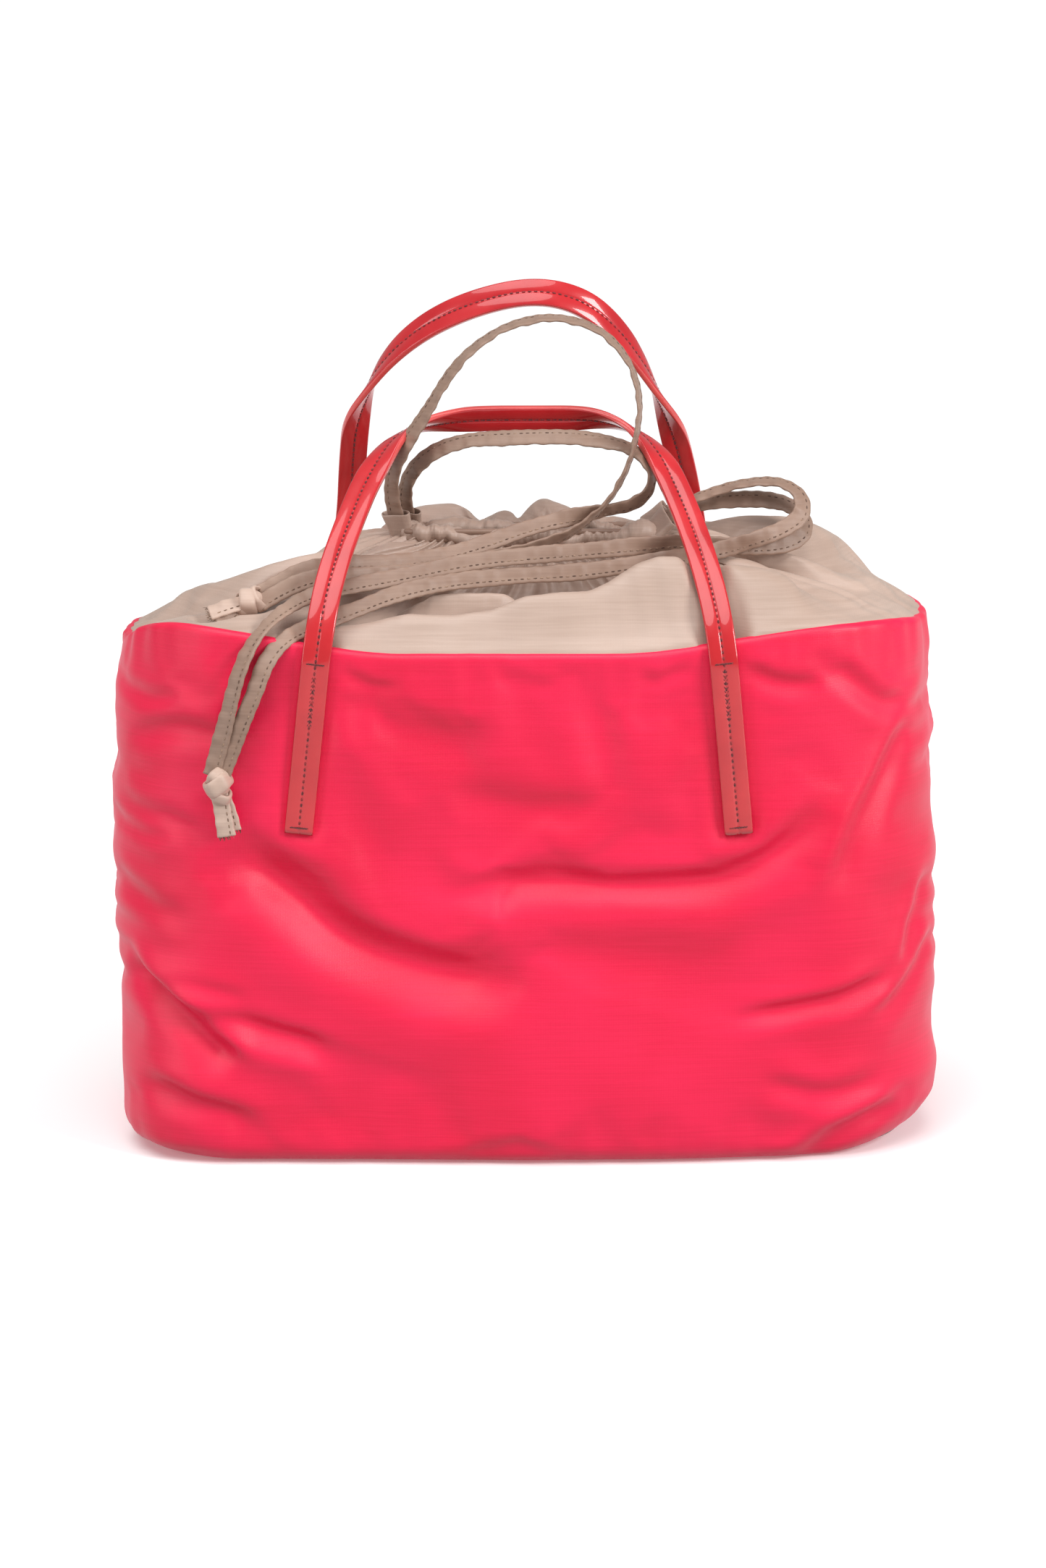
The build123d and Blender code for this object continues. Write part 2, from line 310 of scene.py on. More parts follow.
def thicken(obj, thickness):
    """Gives an open skin a thickness, in millimetres."""
    solid = obj.modifiers.new("cloth_thickness", "SOLIDIFY")
    solid.thickness = thickness * MM


def positions(mesh):
    return np.array([vertex.co for vertex in mesh.vertices])


def place_vertices(mesh, points):
    mesh.vertices.foreach_set("co", points.astype(np.float32).ravel())
    mesh.update()


def settle(obj, held, frames, growth, pressure, cap, bending):
    """Cloth simulation: the cloth is a little larger than the form, so it buckles between what holds it.
    held is each vertex's hold, 0 to 1. No vertex ends further than cap, in metres, from where it was."""
    rest = positions(obj.data)
    group = obj.vertex_groups.new(name="held")
    for index in np.nonzero(held > 0.01)[0]:
        group.add([int(index)], float(held[index]), "REPLACE")
    cloth = obj.modifiers.new("cloth", "CLOTH")
    settings = cloth.settings
    settings.quality = 6
    settings.mass = 0.15
    settings.tension_stiffness = 20
    settings.compression_stiffness = 20
    settings.shear_stiffness = 8
    settings.bending_stiffness = bending
    settings.air_damping = 3
    settings.vertex_group_mass = "held"
    settings.shrink_min = -growth
    settings.use_pressure = True
    settings.uniform_pressure_force = pressure
    settings.effector_weights.gravity = 0
    cloth.collision_settings.use_collision = False
    cloth.point_cache.frame_start = 1
    cloth.point_cache.frame_end = frames
    for step in range(1, frames + 1):
        bpy.context.scene.frame_set(step)
    graph = bpy.context.evaluated_depsgraph_get()
    moved = positions(obj.evaluated_get(graph).data) - rest
    reach = np.linalg.norm(moved, axis=1, keepdims=True)
    moved *= np.minimum(1, cap / np.maximum(reach, 1e-9))
    obj.modifiers.clear()
    obj.vertex_groups.clear()
    place_vertices(obj.data, rest + moved)
    bpy.context.scene.frame_set(1)


# ---------------------------------------------------------------- number helpers
def smoothstep(value, low, high):
    """Rises smoothly from 0 at low to 1 at high."""
    share = np.clip((value - low) / (high - low), 0, 1)
    return share * share * (3 - 2 * share)


def bell(value, width):
    """1 where value is 0, and close to 0 beyond two widths."""
    return np.exp(-(value / width) ** 2)


def signed_power(values, power):
    """Makes waves blunter, or a round section squarer, the lower the power is."""
    return np.sign(values) * np.abs(values) ** power


def full_turn(count):
    """Evenly spaced angles round a circle."""
    return np.linspace(0, 2 * np.pi, count + 1)[:-1]


def unit(vectors):
    return vectors / np.maximum(np.linalg.norm(vectors, axis=-1, keepdims=True), 1e-12)


def run_along(line):
    """How far along a line each of its points lies."""
    return np.concatenate(([0], np.cumsum(np.linalg.norm(np.diff(line, axis=0), axis=1))))


def interpolate(wanted, known, values):
    """Rows of values, known at some places, at the wanted places."""
    return np.column_stack([np.interp(wanted, known, column) for column in values.T])


def outward_normals(line):
    """The outward normals, seen from above, of a closed line that runs anticlockwise."""
    ahead = np.roll(line, -1, 0) - np.roll(line, 1, 0)
    return unit(np.column_stack((ahead[:, 1], -ahead[:, 0])))


# ---------------------------------------------------------------- lines and sweeps
def nurbs_line(name, points):
    """The smooth line of a NURBS spline with those control points, as an array of points."""
    curve = bpy.data.curves.new(name, "CURVE")
    curve.dimensions = "3D"
    spline = curve.splines.new("NURBS")
    spline.points.add(len(points) - 1)
    for control, place in zip(spline.points, points):
        control.co = (*place, 1.0)
    spline.order_u = 3
    spline.use_endpoint_u = True
    spline.resolution_u = 16
    obj = bpy.data.objects.new(name, curve)
    bpy.context.scene.collection.objects.link(obj)
    graph = bpy.context.evaluated_depsgraph_get()
    mesh = bpy.data.meshes.new_from_object(obj.evaluated_get(graph))
    line = positions(mesh)
    bpy.data.objects.remove(obj)
    bpy.data.curves.remove(curve)
    bpy.data.meshes.remove(mesh)
    return line


class Path:
    """A line with even steps, its tangents, and the normal and side of a strip that follows it.
    facing lists (share of the length, direction of the strip's face)."""

    def __init__(self, line, facing, step):
        gaps = np.linalg.norm(np.diff(line, axis=0), axis=1)
        line = line[np.concatenate(([True], gaps > 1e-7))]
        run = run_along(line)
        self.length = run[-1]
        count = max(8, round(self.length / step) + 1)
        self.distance = np.linspace(0, self.length, count)
        self.points = interpolate(self.distance, run, line)
        self.tangents = unit(np.gradient(self.points, axis=0))
        shares = [share for share, _ in facing]
        directions = np.array([direction for _, direction in facing], float)
        normals = self.square(interpolate(self.distance / self.length, shares, directions))
        # smoothed over a few steps, so that the strip turns without kinks
        reach = 4
        window = np.hanning(2 * reach + 1) / np.hanning(2 * reach + 1).sum()
        padded = np.vstack((np.repeat(normals[:1], reach, 0), normals, np.repeat(normals[-1:], reach, 0)))
        smooth = np.column_stack([np.convolve(column, window, "valid") for column in padded.T])
        self.normals = self.square(smooth)
        self.sides = np.cross(self.tangents, self.normals)

    def square(self, directions):
        """The directions, turned until they are square to the line."""
        along = np.sum(directions * self.tangents, axis=1, keepdims=True)
        return unit(directions - along * self.tangents)

    def at(self, distance):
        """Point, tangent, side and normal at each distance along the line."""
        carried = (self.points, self.tangents, self.sides, self.normals)
        return [interpolate(distance, self.distance, values) for values in carried]

    def frame_at(self, distance):
        """The same, at one distance."""
        return [values[0] for values in self.at(np.array([distance]))]


def sweep(path, outline):
    """Vertices and faces of a closed strip. outline is (steps, points, 2): side and normal offsets."""
    rings = (path.points[:, None] + path.sides[:, None] * outline[..., :1]
             + path.normals[:, None] * outline[..., 1:])
    steps, around = outline.shape[:2]
    return rings.reshape(-1, 3), capped_faces(steps, around)


# The rings that make up one stitch, from end to end: their places, as shares of its length, then their
# radius and how far they stand out, as shares of its radius.
STITCH_PLACES = np.array((-0.5, -0.36, 0.0, 0.36, 0.5))
STITCH_GIRTHS = np.array((0.45, 0.95, 1.0, 0.95, 0.45))
STITCH_LIFTS = np.array((-0.9, -0.1, 0.25, -0.1, -0.9))
STITCH_CORNERS = full_turn(6)


def stitches(path, side, height, pitch, length, radius, start=0.0, end=None, slant=0.0):
    """A row of sewn stitches: small rounded bars whose ends dip into the cloth, a pitch apart.
    side and height are the row's offsets from the path. A slant turns each stitch, in radians."""
    end = path.length if end is None else end
    centres = np.arange(start + pitch / 2, end - pitch / 2, pitch)
    points, tangents, sides, normals = path.at(centres)
    lengthways = tangents * math.cos(slant) + sides * math.sin(slant)
    crossways = sides * math.cos(slant) - tangents * math.sin(slant)
    centre = points + sides * side + normals * height
    rings = list(zip(STITCH_PLACES * length, STITCH_GIRTHS * radius, STITCH_LIFTS * radius))
    vertices = []
    faces = []
    for number in range(len(centres)):
        faces.extend(capped_faces(len(rings), len(STITCH_CORNERS), start=len(vertices)))
        for station, girth, lift in rings:
            middle = centre[number] + lengthways[number] * station + normals[number] * lift
            for corner in STITCH_CORNERS:
                vertices.append(middle + crossways[number] * girth * math.cos(corner)
                                + normals[number] * girth * math.sin(corner))
    return np.array(vertices).reshape(-1, 3), faces


class Parts:
    """Collects closed pieces into one mesh with several materials."""

    def __init__(self):
        self.vertices = []
        self.faces = []
        self.indices = []
        self.count = 0

    def add(self, vertices, faces, material=0):
        self.vertices.append(vertices)
        self.faces.extend(tuple(i + self.count for i in face) for face in faces)
        self.indices.extend([material] * len(faces))
        self.count += len(vertices)

    def build(self, name, materials):
        return make_mesh(name, np.vstack(self.vertices), self.faces, materials, self.indices)


# ---------------------------------------------------------------- cords: the drawstring tapes
TAPE_WIDTH = 0.0085
TAPE_THICKNESS = 0.0019
# where the row of stitches lies across the tape, from -1 to 1
STITCH_LINE = -0.45
TAPE_ROW = dict(side=STITCH_LINE * TAPE_WIDTH / 2, pitch=0.0031, length=0.0021)
TAPE_ROW_HEIGHT = TAPE_THICKNESS * 0.27
LEFT_KNOT = np.array((-0.127, -0.057, 0.2705))
RIGHT_KNOT = np.array((-0.1415, -0.094, 0.189))
LEFT_TAIL_LINE = np.array([(-0.131, -0.058, 0.2695), (-0.137, -0.061, 0.267), (-0.142, -0.063, 0.265),
                           (-0.147, -0.064, 0.2635)])

# The cut ends beyond the knots: each one's route in metres, and the way its wide face looks.
LEFT_TAILS = [
    ([(-0.1305, -0.0585, 0.2700), (-0.137, -0.061, 0.2685),
      (-0.1435, -0.0625, 0.2665), (-0.1465, -0.0630, 0.2655)], (0.1, -0.6, 0.8)),
    ([(-0.1305, -0.0570, 0.2680), (-0.136, -0.0600, 0.2645),
      (-0.1400, -0.0630, 0.2620), (-0.1425, -0.0650, 0.2610)], (0.1, -0.8, 0.5)),
]
RIGHT_TAILS = [
    ([(-0.1409, -0.0945, 0.185), (-0.1398, -0.0950, 0.178),
      (-0.1388, -0.0950, 0.171), (-0.1378, -0.0948, 0.1645)], (0, -1, 0.1)),
    ([(-0.1405, -0.0925, 0.185), (-0.1380, -0.0925, 0.178),
      (-0.1362, -0.0923, 0.172), (-0.1352, -0.0920, 0.1665)], (0.1, -1, 0)),
]

# Each tape's route, as in the CAD source, in metres, and the way its wide face looks.
TAPES = {
    "left_drawstring_long_loop": dict(
        length=0.442,
        route=[(-0.058, 0.0075, 0.2956), (-0.063, 0.004, 0.310), (-0.059, -0.005, 0.330),
               (-0.045, -0.0115, 0.352), (-0.030, -0.012, 0.378), (-0.008, -0.010, 0.395),
               (0.019, -0.010, 0.4005), (0.044, -0.012, 0.3915), (0.058, -0.014, 0.369),
               (0.0575, -0.015, 0.343), (0.048, -0.016, 0.316), (0.029, -0.019, 0.2975),
               (0.006, -0.024, 0.289), (-0.020, -0.031, 0.285), (-0.046, -0.039, 0.281),
               (-0.070, -0.047, 0.2805), (-0.092, -0.054, 0.282), (-0.109, -0.058, 0.278),
               (-0.1225, -0.0588, 0.2693)],
        facing=[(0, (-0.5, -1, 0)), (0.1, (-0.7, -0.75, 0.1)), (0.18, (-0.9, -0.55, 0.45)),
                (0.26, (-0.7, -0.3, 0.9)), (0.34, (0, -0.22, 1)), (0.43, (0.8, -0.2, 0.6)),
                (0.52, (1, -0.22, 0)), (0.6, (0.8, -0.3, -0.6)), (0.68, (0.3, -0.75, -0.6)),
                (0.74, (0, -0.9, -0.3)), (0.82, (0, -0.95, 0.2)), (1, (0, -0.9, 0.4))]),
    "left_drawstring_short_loop": dict(
        length=0.367,
        route=[(-0.054, 0.020, 0.2956), (-0.057, 0.013, 0.309), (-0.050, 0.006, 0.326),
               (-0.031, -0.001, 0.338), (-0.004, -0.004, 0.340), (0.024, -0.006, 0.341),
               (0.044, -0.008, 0.3385), (0.057, -0.010, 0.3345), (0.064, -0.011, 0.3265),
               (0.064, -0.012, 0.3165), (0.0565, -0.0125, 0.309), (0.042, -0.013, 0.306),
               (0.024, -0.0145, 0.303), (0.003, -0.018, 0.298), (-0.017, -0.024, 0.2915),
               (-0.039, -0.031, 0.2865), (-0.061, -0.038, 0.285), (-0.083, -0.046, 0.2865),
               (-0.103, -0.051, 0.2845), (-0.115, -0.053, 0.2775), (-0.1225, -0.0545, 0.2735)],
        facing=[(0, (-0.4, -1, 0)), (0.1, (-0.6, -0.8, 0.3)), (0.18, (-0.3, -0.7, 0.7)),
                (0.28, (0, -0.75, 0.6)), (0.38, (0.3, -0.6, 0.75)), (0.45, (1, -0.4, 0.3)),
                (0.52, (0.4, -0.7, -0.6)), (0.6, (0, -0.8, 0.5)), (0.75, (0, -0.8, 0.5)),
                (1, (0, -0.9, 0.4))]),
    "right_drawstring_front_run": dict(
        length=0.425,
        route=[(0.0685, 0.007, 0.2956), (0.076, 0.006, 0.304), (0.090, 0.004, 0.311),
               (0.107, 0.000, 0.317), (0.124, -0.004, 0.3195), (0.136, -0.009, 0.314),
               (0.137, -0.015, 0.3045), (0.127, -0.021, 0.298), (0.111, -0.026, 0.2935),
               (0.095, -0.031, 0.2895), (0.076, -0.035, 0.287), (0.054, -0.038, 0.284),
               (0.028, -0.041, 0.281), (-0.001, -0.043, 0.280), (-0.029, -0.048, 0.2785),
               (-0.055, -0.056, 0.275), (-0.078, -0.066, 0.2675), (-0.097, -0.0735, 0.262),
               (-0.110, -0.083, 0.2575), (-0.119, -0.0915, 0.248), (-0.124, -0.095, 0.233),
               (-0.133, -0.0955, 0.2125), (-0.1398, -0.094, 0.1938)],
        facing=[(0, (0, -0.5, 0.9)), (0.12, (-0.2, -0.3, 1)), (0.22, (0.6, -0.4, 0.7)), (0.28, (1, -0.4, 0)),
                (0.34, (0.2, -0.9, 0.3)), (0.45, (0, -0.95, 0.35)), (0.62, (0, -0.95, 0.35)),
                (0.74, (-0.3, -0.85, 0.4)), (0.82, (-0.35, -0.9, 0.3)), (1, (-0.1, -1, 0))]),
    "right_drawstring_back_run": dict(
        length=0.441,
        route=[(0.0675, 0.018, 0.2956), (0.077, 0.015, 0.303), (0.093, 0.009, 0.3065),
               (0.111, 0.004, 0.309), (0.128, 0.001, 0.308), (0.138, -0.004, 0.302),
               (0.138, -0.011, 0.2945), (0.129, -0.017, 0.290), (0.115, -0.021, 0.2895),
               (0.098, -0.025, 0.291), (0.079, -0.030, 0.294), (0.055, -0.035, 0.2925),
               (0.028, -0.038, 0.2905), (0.001, -0.041, 0.289), (-0.026, -0.044, 0.2865),
               (-0.052, -0.049, 0.2815), (-0.075, -0.055, 0.278), (-0.097, -0.062, 0.275),
               (-0.111, -0.073, 0.269), (-0.122, -0.085, 0.261), (-0.130, -0.094, 0.248),
               (-0.135, -0.095, 0.230), (-0.140, -0.095, 0.210), (-0.1448, -0.094, 0.1938)],
        facing=[(0, (0, -0.8, 0.6)), (0.1, (0, -0.9, 0.45)), (0.2, (0.5, -0.7, 0.6)), (0.27, (1, -0.4, 0)),
                (0.33, (0.2, -0.8, -0.5)), (0.42, (0, -0.95, 0.3)), (0.6, (0, -0.9, 0.45)),
                (0.72, (-0.3, -0.8, 0.5)), (0.84, (-0.7, -0.7, 0.3)), (1, (-0.25, -1, 0))]),
}


def tape_outline(path, seed):
    """A folded tape's section at each step: two soft layers that pucker between the stitches."""
    angle = full_turn(20)
    cycle = 2 * np.pi * path.distance
    pucker = np.sin(cycle / 0.0062 + seed + 1.5 * np.sin(path.distance / 0.011))
    slow = np.sin(cycle / 0.041 + 2 * seed)
    half_width = TAPE_WIDTH / 2 * (1 + 0.03 * pucker + 0.04 * slow)
    half_thick = TAPE_THICKNESS / 2 * (1 + 0.14 * pucker)
    side = signed_power(np.cos(angle), 0.55)
    rise = signed_power(np.sin(angle), 0.75)
    across = half_width[:, None] * side
    seam = bell(side - STITCH_LINE, 0.15) * (0.48 + 0.14 * pucker[:, None])
    body = rise * (1 - seam) * half_thick[:, None]
    # the loose layer beside the seam crumples
    crumple = np.sin(cycle / 0.0105 + seed) + 0.8 * np.sin(cycle / 0.023 + 2 * seed)
    wave = 0.00026 * crumple[:, None] * np.clip(side - STITCH_LINE, 0, 1) ** 0.7
    return np.stack((across, body + wave), axis=-1)


tape_paths = {}


def add_tape(name, route, facing):
    line = nurbs_line(name, route)
    path = Path(line, facing, step=0.0011)
    tape_paths[name] = path
    parts = Parts()
    parts.add(*sweep(path, tape_outline(path, len(name))))
    for face in (1, -1):
        parts.add(*stitches(path, height=face * TAPE_ROW_HEIGHT, radius=0.00036, start=0.004, **TAPE_ROW), 1)
    tape = parts.build(name + "_tape", [TAPE, TAPE_THREAD])
    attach(tape, "root")
    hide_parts(name)
    return tape, line


def ring_band(centre, axis, radius, width, thickness, seed):
    """One turn of tape round a knot: a closed band, a little uneven, with crisp edges."""
    rng = np.random.default_rng(seed)
    axis = unit(axis)
    first = unit(np.cross(axis, (0.3, 0.9, 0.2)))
    second = np.cross(axis, first)
    turn = full_turn(48)
    uneven = 1 + 0.08 * np.sin(2 * turn + rng.uniform(0, 6)) + 0.05 * np.sin(5 * turn + rng.uniform(0, 6))
    lift = 0.12 * radius * np.sin(turn + rng.uniform(0, 6))
    outward = np.cos(turn)[:, None] * first + np.sin(turn)[:, None] * second
    centres = centre + outward * (radius * uneven)[:, None] + axis * lift[:, None]
    angle = full_turn(14)
    side = signed_power(np.cos(angle), 0.5) * width / 2
    rise = np.sin(angle) * thickness / 2
    crown = -0.22 * thickness * (2 * side / width) ** 2
    rings = (centres[:, None] + axis * side[None, :, None]
             + unit(outward)[:, None] * (rise + crown)[None, :, None])
    return rings.reshape(-1, 3), looped_faces(len(turn), len(angle))


KNOT_CORE_RADIUS = 0.0054
KNOT_TAPE_THICKNESS = 0.0021


def add_knot(name, centre, axis, bands):
    """An overhand knot tied in both tapes: a packed core with turns of tape over it.
    Each band has its offset along the axis, its lean, its radius and its width."""
    parts = Parts()
    axis = unit(axis)
    first = unit(np.cross(axis, (0.1, 0.9, 0.3)))
    second = np.cross(axis, first)
    polar = np.linspace(0.12, np.pi - 0.12, 14)
    turn = full_turn(24)
    bulge = 1 + 0.07 * np.sin(3 * turn)[None] * np.sin(2 * polar)[:, None]
    across = (np.cos(turn)[:, None] * first + np.sin(turn)[:, None] * second)[None]
    core = (centre + across * (KNOT_CORE_RADIUS * np.sin(polar)[:, None] * bulge)[..., None]
            - axis * (1.15 * KNOT_CORE_RADIUS * np.cos(polar))[:, None, None])
    parts.add(core.reshape(-1, 3), capped_faces(len(polar), len(turn)))
    for number, (offset, lean, radius, width) in enumerate(bands):
        parts.add(*ring_band(centre + axis * offset, axis + lean, radius, width, KNOT_TAPE_THICKNESS,
                             seed=7 + number))
    # the knot's tape colour is the lighter copy, with painted light
    knot = parts.build(name + "_wrap", [TAPE_PAINTED_LIGHTER, TAPE_THREAD])
    subdivide(knot)
    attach(knot, "root")
    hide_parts(name)
    return knot


FIBRES_PER_END = 26
FIBRE_RADIUS = 0.00011
FIBRE_ANGLES = np.linspace(0, 5.03, 5)
FIBRE_SECTION = np.column_stack((FIBRE_RADIUS * np.cos(FIBRE_ANGLES), FIBRE_RADIUS * np.sin(FIBRE_ANGLES)))


def add_tails(name, ends, seed):
    """The cut ends beyond a knot: flat tapes whose last millimetres fray into loose fibres."""
    rng = np.random.default_rng(seed)
    parts = Parts()
    for route, face in ends:
        path = Path(nurbs_line(name, route), [(0, face), (1, face)], step=0.0008)
        parts.add(*sweep(path, tape_outline(path, seed)))
        parts.add(*stitches(path, height=TAPE_ROW_HEIGHT, radius=0.00034, start=0.002, **TAPE_ROW), 1)
        tip, tangent, side, normal = path.frame_at(path.length)
        for _ in range(FIBRES_PER_END):
            root = tip + side * rng.uniform(-0.46, 0.46) * TAPE_WIDTH
            root = root + normal * rng.uniform(-0.4, 0.4) * 0.0015
            lean = tangent + side * rng.uniform(-0.35, 0.35) + normal * rng.uniform(-0.35, 0.35)
            reach = rng.uniform(0.0006, 0.0021)
            strand = [root - tangent * 0.0006, root + tangent * 0.0002, root + lean * reach * 0.5,
                      root + lean * reach]
            fibre = Path(np.array(strand), [(0, normal), (1, normal)], step=0.0003)
            parts.add(*sweep(fibre, np.repeat(FIBRE_SECTION[None], len(fibre.points), 0)), 1)
    # the cut ends' tape colour is the lighter copy, with painted light
    tails = parts.build(name + "_cut_ends", [TAPE_PAINTED_LIGHTER, TAPE_THREAD])
    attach(tails, "root")
    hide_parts(name)
    return tails


def add_drawstrings():
    made = {name: add_tape(name, facts["route"], facts["facing"]) for name, facts in TAPES.items()}
    left_knot = add_knot("left_drawstring_knot", LEFT_KNOT, (-1, -0.1, -0.25),
                         [(0.0012, (0.05, 0.1, 0.25), 0.0060, 0.0078),
                          (-0.0034, (0.1, 0.5, -0.5), 0.0052, 0.0060),
                          (0.0040, (0.2, -0.4, 0.8), 0.0046, 0.0054)])
    right_knot = add_knot("right_drawstring_knot", RIGHT_KNOT, (0.15, 0, -1),
                          [(-0.0008, (0.35, 0.1, 0.05), 0.0062, 0.0084),
                           (0.0040, (-0.5, 0.4, 0.1), 0.0050, 0.0056),
                           (-0.0040, (0.8, -0.4, 0.2), 0.0046, 0.0052)])
    left_tails = add_tails("left_drawstring_tails", LEFT_TAILS, seed=3)
    right_tails = add_tails("right_drawstring_tails", RIGHT_TAILS, seed=5)
    used = set()
    for name, (tape, line) in made.items():
        hand = name.split("_")[0]
        used.add(hand)


add_drawstrings()


# ---------------------------------------------------------------- the padded body
def rounded_outline(count, half_x, half_y, radius):
    """Evenly spaced points on a rounded rectangle, anticlockwise from the middle of the front,
    with their outward normals and the distance run."""
    corners = [(half_x - radius, radius - half_y, -90), (half_x - radius, half_y - radius, 0),
               (radius - half_x, half_y - radius, 90), (radius - half_x, radius - half_y, 180)]
    points = [(0.0, -half_y)]
    for x, y, start in corners:
        for angle in np.radians(np.linspace(start, start + 90, 40)):
            points.append((x + radius * math.cos(angle), y + radius * math.sin(angle)))
    points.append((0.0, -half_y))
    points = np.array(points)
    run = run_along(points)
    place = np.linspace(0, run[-1], count + 1)[:-1]
    even = interpolate(place, run, points)
    return even, outward_normals(even), place, run[-1]


BODY_COLUMNS = 248
BODY_LENGTH = HALF_LENGTH - 2.5
outline, outline_normals, outline_place, outline_span = rounded_outline(
    BODY_COLUMNS, BODY_LENGTH, HALF_DEPTH, CORNER_RADIUS)
drawn_outline = rounded_outline(BODY_COLUMNS, BODY_LENGTH, HALF_DEPTH, HALF_DEPTH - 0.5)[0]
signed_place = np.where(outline_place > outline_span / 2, outline_place - outline_span, outline_place)


def along_outline(place, start):
    """The signed distance from start to place along the outline, the shorter way round."""
    return (place - start + outline_span / 2) % outline_span - outline_span / 2


def ripples(place, period, seed):
    """Uneven waves along the outline, with about that period. From -1 to 1."""
    count = round(outline_span / period)
    turn = 2 * np.pi * place / outline_span
    drift = 1.9 * np.sin(turn * (count // 3) + seed)
    drift += 1.3 * np.sin(turn * (count // 5) + 2.1 * seed)
    swell = 0.65 + 0.35 * np.sin(turn * (count // 4) + 3.3 * seed)
    return np.sin(turn * count + drift) * swell


def rim_height(x, y):
    """The rim sags in the middle of the front, peaks at the front corners and drops at the left end."""
    front = smoothstep(-y, 15, 80)
    left = smoothstep(-x, 90, 190)
    right = smoothstep(x, 90, 190)
    front_height = SHELL_HEIGHT - 3.0 + 13.0 * smoothstep(np.abs(x + 5), 50, 165)
    back_height = SHELL_HEIGHT - 1.5 - 5.0 * left + 5.0 * right
    return front * front_height + (1 - front) * back_height


def along_front(x):
    """How far along the outline a place lies that is seen at x from the front."""
    flat = BODY_LENGTH - CORNER_RADIUS
    past = np.clip((abs(x) - flat) / CORNER_RADIUS, 0, 0.995)
    return math.copysign(min(abs(x), flat) + CORNER_RADIUS * math.asin(past), x)


# Folds: points (x as seen from the front, height), then depth and width of the hollow, the lift and the
# distance of the ridge above it and of the ridge below it, in millimetres.
FRONT_FOLDS = [
    # the long hollow that runs down from the left tab to the middle
    ([(-146, 160), (-124, 146), (-104, 130), (-82, 112), (-50, 99), (-18, 92), (16, 89)],
     9.0, 12, 3.4, 24, 2.5, 24),
    # the level fold under the right tab, which climbs to the right corner
    ([(-46, 134), (-12, 138), (14, 139.5), (55, 138.5), (90, 141), (117, 150), (134, 164), (150, 187)],
     5.6, 6.5, 2.4, 12, 2.4, 17),
    # the sharp overhanging fold at the lower left and the pocket under it
    ([(-192, 97), (-184, 89), (-170, 78), (-156, 66), (-146, 58), (-138, 49)], 9.0, 8, 5.0, 10, 0.0, 12),
    ([(-166, 81), (-146, 74), (-133, 70), (-119, 66), (-102, 62), (-84, 55)], 4.5, 6, 1.0, 9, 2.6, 10),
    ([(-176, 94), (-160, 90), (-146, 87), (-130, 83)], 2.0, 4, 0.8, 6, 0.8, 6),
    ([(-186, 41), (-170, 35), (-161, 31), (-143, 26), (-119, 15)], 3.8, 7, 2.4, 10, 0.5, 9),
    # creases that fan out from the right end
    ([(189, 219), (180, 200), (171, 183), (163, 169), (155, 151), (148, 131)], 3.6, 7, 2.6, 7, 0.0, 8),
    ([(96, 73), (120, 76), (138, 79), (152, 82), (164, 87), (177, 94)], 3.8, 4.5, 2.0, 7, 1.2, 8),
    ([(193, 141), (189, 123), (185, 107), (182, 91)], 2.6, 5, 1.8, 7, 0.0, 8),
    ([(196, 109), (190, 95), (180, 81), (166, 71)], 2.4, 5, 1.8, 7, 0.0, 8),
    ([(134, -5), (141, 5), (150, 13), (166, 20), (180, 24)], 4.6, 7, 2.8, 9, 0.8, 9),
    ([(112, 43), (128, 38), (142, 35), (158, 37), (172, 43)], 2.4, 6, 1.6, 9, 1.0, 10),
    # soft hollows under the rim, beside the tabs
    ([(-88, 234), (-62, 219), (-37, 210), (-8, 199)], 3.0, 12, 1.0, 18, 1.0, 18),
    ([(-40, 187), (-12, 179), (20, 175), (48, 177)], 1.8, 9, 1.0, 13, 0.8, 13),
    ([(-190, 205), (-176, 211), (-160, 213), (-142, 207)], 2.4, 6, 1.4, 9, 0.8, 9),
    ([(-194, 177), (-184, 171), (-168, 168), (-150, 161)], 1.8, 6, 1.2, 9, 0.8, 9),
    ([(104, 246), (116, 239), (131, 235), (146, 237)], 2.6, 5, 1.6, 7, 0.6, 7),
    ([(150, 246), (160, 236), (174, 224), (186, 223)], 2.6, 6, 1.6, 8, 0.6, 8),
    ([(30, 232), (38, 213), (44, 195), (46, 177)], 1.6, 9, 0.8, 14, 0.8, 14),
    ([(-86, 243), (-78, 238), (-68, 235), (-56, 234)], 1.8, 3.5, 1.0, 5, 0.5, 5),
    ([(82, 244), (74, 240), (66, 238), (56, 238)], 1.6, 3.5, 1.0, 5, 0.5, 5),
    ([(-12, 243), (-4, 238), (8, 235), (22, 234)], 1.0, 4, 0.6, 6, 0.4, 6),
    ([(-197, 232), (-188, 228), (-178, 227), (-166, 230)], 1.8, 4, 1.0, 6, 0.5, 6),
    ([(-198, 168), (-190, 163), (-180, 160), (-166, 160)], 1.6, 4, 1.0, 6, 0.6, 6),
    ([(-30, 6), (-12, 9), (4, 10), (20, 7)], 1.4, 4, 0.8, 6, 0.4, 6),
    ([(-196, 139), (-188, 131), (-176, 125), (-158, 122)], 1.8, 6, 1.0, 9, 0.8, 9),
]
